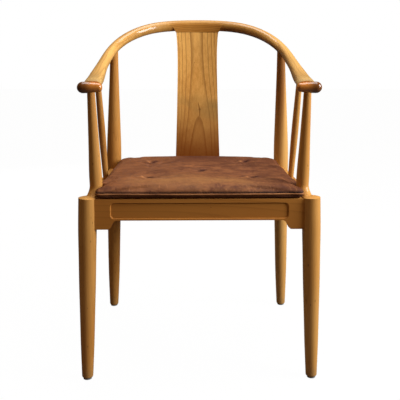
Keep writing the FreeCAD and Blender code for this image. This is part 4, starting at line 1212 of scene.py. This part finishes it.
        # painted shade, with some soiling, in the groove above the piping, kept as a mark for the leather's
        # finish
        groove_grime_and_shade = hill((away - self.groove_grime_and_shade_above) / self.groove_grime_and_shade_reach) * (above > -1.0 * MM)
        for name, values in (("seam", groove_grime_and_shade), ("pit", pit * upward), ("ridge_rub_and_highlight", ridge_rub_and_highlight * upward)):
            mark = mesh.attributes.new(name, "FLOAT", "POINT")
            mark.data.foreach_set("value", values.astype(np.float32))
        mesh.polygons.foreach_set("use_smooth", [True] * len(mesh.polygons))

    def piping(self) -> Object:
        """Makes the leather piping that covers the seam.

        Returns:
            The piece.
        """
        tree = Tree("piping")
        radius = tree.size("Radius", self.piping_radius)
        line = tree.line(tree.size("Spacing", self.piping_step))
        profile = tree.add("GeometryNodeCurvePrimitiveCircle", inputs={"Resolution": 10, "Radius": radius})
        uneven = tree.add("ShaderNodeTexNoise", inputs={"Scale": 90.0, "Detail": 2.0})
        swell = tree.add("ShaderNodeMapRange", inputs={"Value": uneven, "To Min": 0.75, "To Max": 1.25})
        inputs = {"Curve": line, "Profile Curve": profile, "Scale": swell}
        shape = tree.add("GeometryNodeCurveToMesh", inputs=inputs)
        return tree.grow("cushion_piping", shape, self.leather.piping("piping_leather"), self.seam, True)

    def stitches(self) -> Object:
        """Makes the row of stitches above the piping.

        Returns:
            The piece.
        """
        surface = surface_of(self.pad)
        row = [surface.find_nearest(point + Vector((0, 0, self.stitch_above)))[0] for point in self.seam]
        tree = Tree("stitches")
        line = tree.line(tree.size("Gap", self.stitch_gap))
        sizes = {"Vertices": 6, "Radius": tree.size("Radius", self.stitch_radius),
                 "Depth": tree.size("Length", self.stitch_length)}
        thread = tree.add("GeometryNodeMeshCylinder", inputs=sizes)
        tangent = tree.add("GeometryNodeInputTangent")
        turn = tree.add("FunctionNodeAlignRotationToVector", {"axis": "Z"}, {"Vector": tangent})
        inputs = {"Points": line, "Instance": thread, "Rotation": turn}
        shape = tree.add("GeometryNodeInstanceOnPoints", inputs=inputs)
        return tree.grow("cushion_stitches", shape, THREAD.material("seam_thread"), row, True)

    def tuft_threads(self) -> Object:
        """Makes the short crossed threads that hold each tuft down.

        Returns:
            The piece.
        """
        surface, down = surface_of(self.pad), Vector((0, 0, -1))
        tops = [surface.ray_cast(Vector((spot.x, spot.y, 1.0)), down)[0] for spot in self.spots()]
        tree = Tree("tuft_threads")
        sizes = {"Vertices": 8, "Radius": tree.size("Radius", self.thread_radius),
                 "Depth": tree.size("Length", self.thread_length)}
        join = tree.tree.nodes.new("GeometryNodeJoinGeometry")
        for turn in self.thread_turns:
            bar = tree.add("GeometryNodeMeshCylinder", inputs=sizes)
            lay = Euler((0.0, math.pi / 2, turn))
            laid = tree.add("GeometryNodeTransform", inputs={"Geometry": bar, "Rotation": lay})
            tree.tree.links.new(laid, join.inputs[0])
        inputs = {"Points": tree.start.outputs[0], "Instance": join.outputs[0]}
        shape = tree.add("GeometryNodeInstanceOnPoints", inputs=inputs)
        return tree.grow("tuft_threads", shape, THREAD.material("tuft_thread"), tops, False)

    def build(self) -> None:
        """Makes the cushion's pieces and sets them on their body."""
        self.start()
        self.grow()
        self.follow_seam()
        self.detail()
        pad = self.pad
        pad.data.materials.append(self.leather.cover("tufted_leather"))
        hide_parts("cushion_cover", "cushion_core", "tuft_ties")
        for piece, slot in ((pad, "leather"), (self.piping(), "leather"),
                            (self.stitches(), "thread"), (self.tuft_threads(), "thread")):
            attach(piece, "cushion")
            log.info("%s: %d faces", piece.name, len(piece.data.polygons))


@dataclass(frozen=True)
class Lamp:
    """One soft square lamp."""

    name: str
    where: tuple[float, float, float]
    aim: tuple[float, float, float]
    size: tuple[float, float]
    power: float
    mirrored: bool = True

    def hang(self) -> None:
        """Adds the lamp to the scene."""
        light = bpy.data.lights.new(self.name, "AREA")
        light.shape = "RECTANGLE"
        light.size, light.size_y = self.size
        light.energy = self.power
        lamp = placed(self.name, light)
        lamp.location = self.where
        lamp.rotation_euler = (Vector(self.aim) - Vector(self.where)).to_track_quat("-Z", "Y").to_euler()
        lamp.visible_camera = False
        lamp.visible_glossy = self.mirrored


@dataclass
class Studio:
    """The pale floor, the soft lamps and the camera."""

    world_light: float = 0.18
    world_tint: Colour = (1.0, 0.58, 0.27)
    floor_half: float = 12.0
    floor_white: float = 0.985
    floor_tone: float = 0.10
    floor_shown: float = 0.92
    camera_at: tuple[float, float, float] = (-0.0194, -1.6036, 0.725)
    camera_down: float = 9.39
    camera_turn: float = -0.85
    camera_lens: float = 57.6
    camera_sensor: float = 36.0
    camera_shift: float = -0.10
    lamps: tuple[Lamp, ...] = (
        Lamp("window", (2.05, -0.62, 1.40), (0.0, 0.0, 0.5), (1.2, 1.3), 78.0),
        Lamp("skylight", (0.1, 0.1, 2.1), (0.0, 0.1, 0.5), (1.4, 1.4), 30.0),
        Lamp("far_window", (-0.9, 2.4, 1.1), (0.0, 0.0, 0.5), (1.8, 1.6), 30.0, False),
    )

    def build(self) -> None:
        """Sets up the whole studio."""
        for lamp in self.lamps:
            lamp.hang()
        self.floor()
        self.sky()
        self.camera()

    def floor(self) -> None:
        """Lays the pale floor, white to the camera but for the chair's shadow."""
        half = self.floor_half
        mesh = bpy.data.meshes.new("floor")
        points = [(-half, -half, 0), (half, -half, 0), (half, half, 0), (-half, half, 0)]
        mesh.from_pydata(points, [], [(0, 1, 2, 3)])
        bench = Bench("pale_floor")
        seen = bench.node("ShaderNodeLightPath", output="Is Camera Ray")
        tone = bench.mix(seen, (self.floor_tone,) * 3, (self.floor_shown,) * 3)
        matt = bench.add("ShaderNodeBsdfDiffuse", inputs={"Color": tone})
        white = bench.add("ShaderNodeEmission", inputs={"Color": WHITE, "Strength": 1.0})
        mixed = bench.add("ShaderNodeMixShader", inputs={0: seen * self.floor_white, 1: matt, 2: white})
        bench.show("ShaderNodeOutputMaterial", mixed)
        mesh.materials.append(bench.material)
        placed("floor", mesh)

    def sky(self) -> None:
        """Lights the room softly from all round, and shows it white to the camera."""
        world = bpy.data.worlds.new("room")
        bpy.context.scene.world = world
        world.use_nodes = True
        room = Nodes(world.node_tree)
        tint = {"Color": (*self.world_tint, 1.0), "Strength": self.world_light}
        dim = room.add("ShaderNodeBackground", inputs=tint)
        white = room.add("ShaderNodeBackground", inputs={"Color": WHITE})
        seen = room.add("ShaderNodeLightPath", output="Is Camera Ray")
        mixed = room.add("ShaderNodeMixShader", inputs={0: seen, 1: dim, 2: white})
        room.show("ShaderNodeOutputWorld", mixed)

    def camera(self) -> None:
        """Stands the camera where the photograph was taken from."""
        lens = bpy.data.cameras.new("camera")
        lens.lens = self.camera_lens
        lens.sensor_width = self.camera_sensor
        lens.shift_y = self.camera_shift
        camera = placed("camera", lens)
        camera.location = self.camera_at
        camera.rotation_euler = (math.radians(90.0 - self.camera_down), 0.0, math.radians(self.camera_turn))
        bpy.context.scene.camera = camera


def main() -> None:
    """Builds the armchair's looks and its studio."""
    logging.basicConfig(level=logging.INFO, format="%(name)s: %(message)s")
    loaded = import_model()
    bpy.context.scene.view_settings.view_transform = "Standard"
    Frame(loaded).build()
    Cushion(loaded).build()
    Studio().build()


if __name__ == "__main__":
    main()
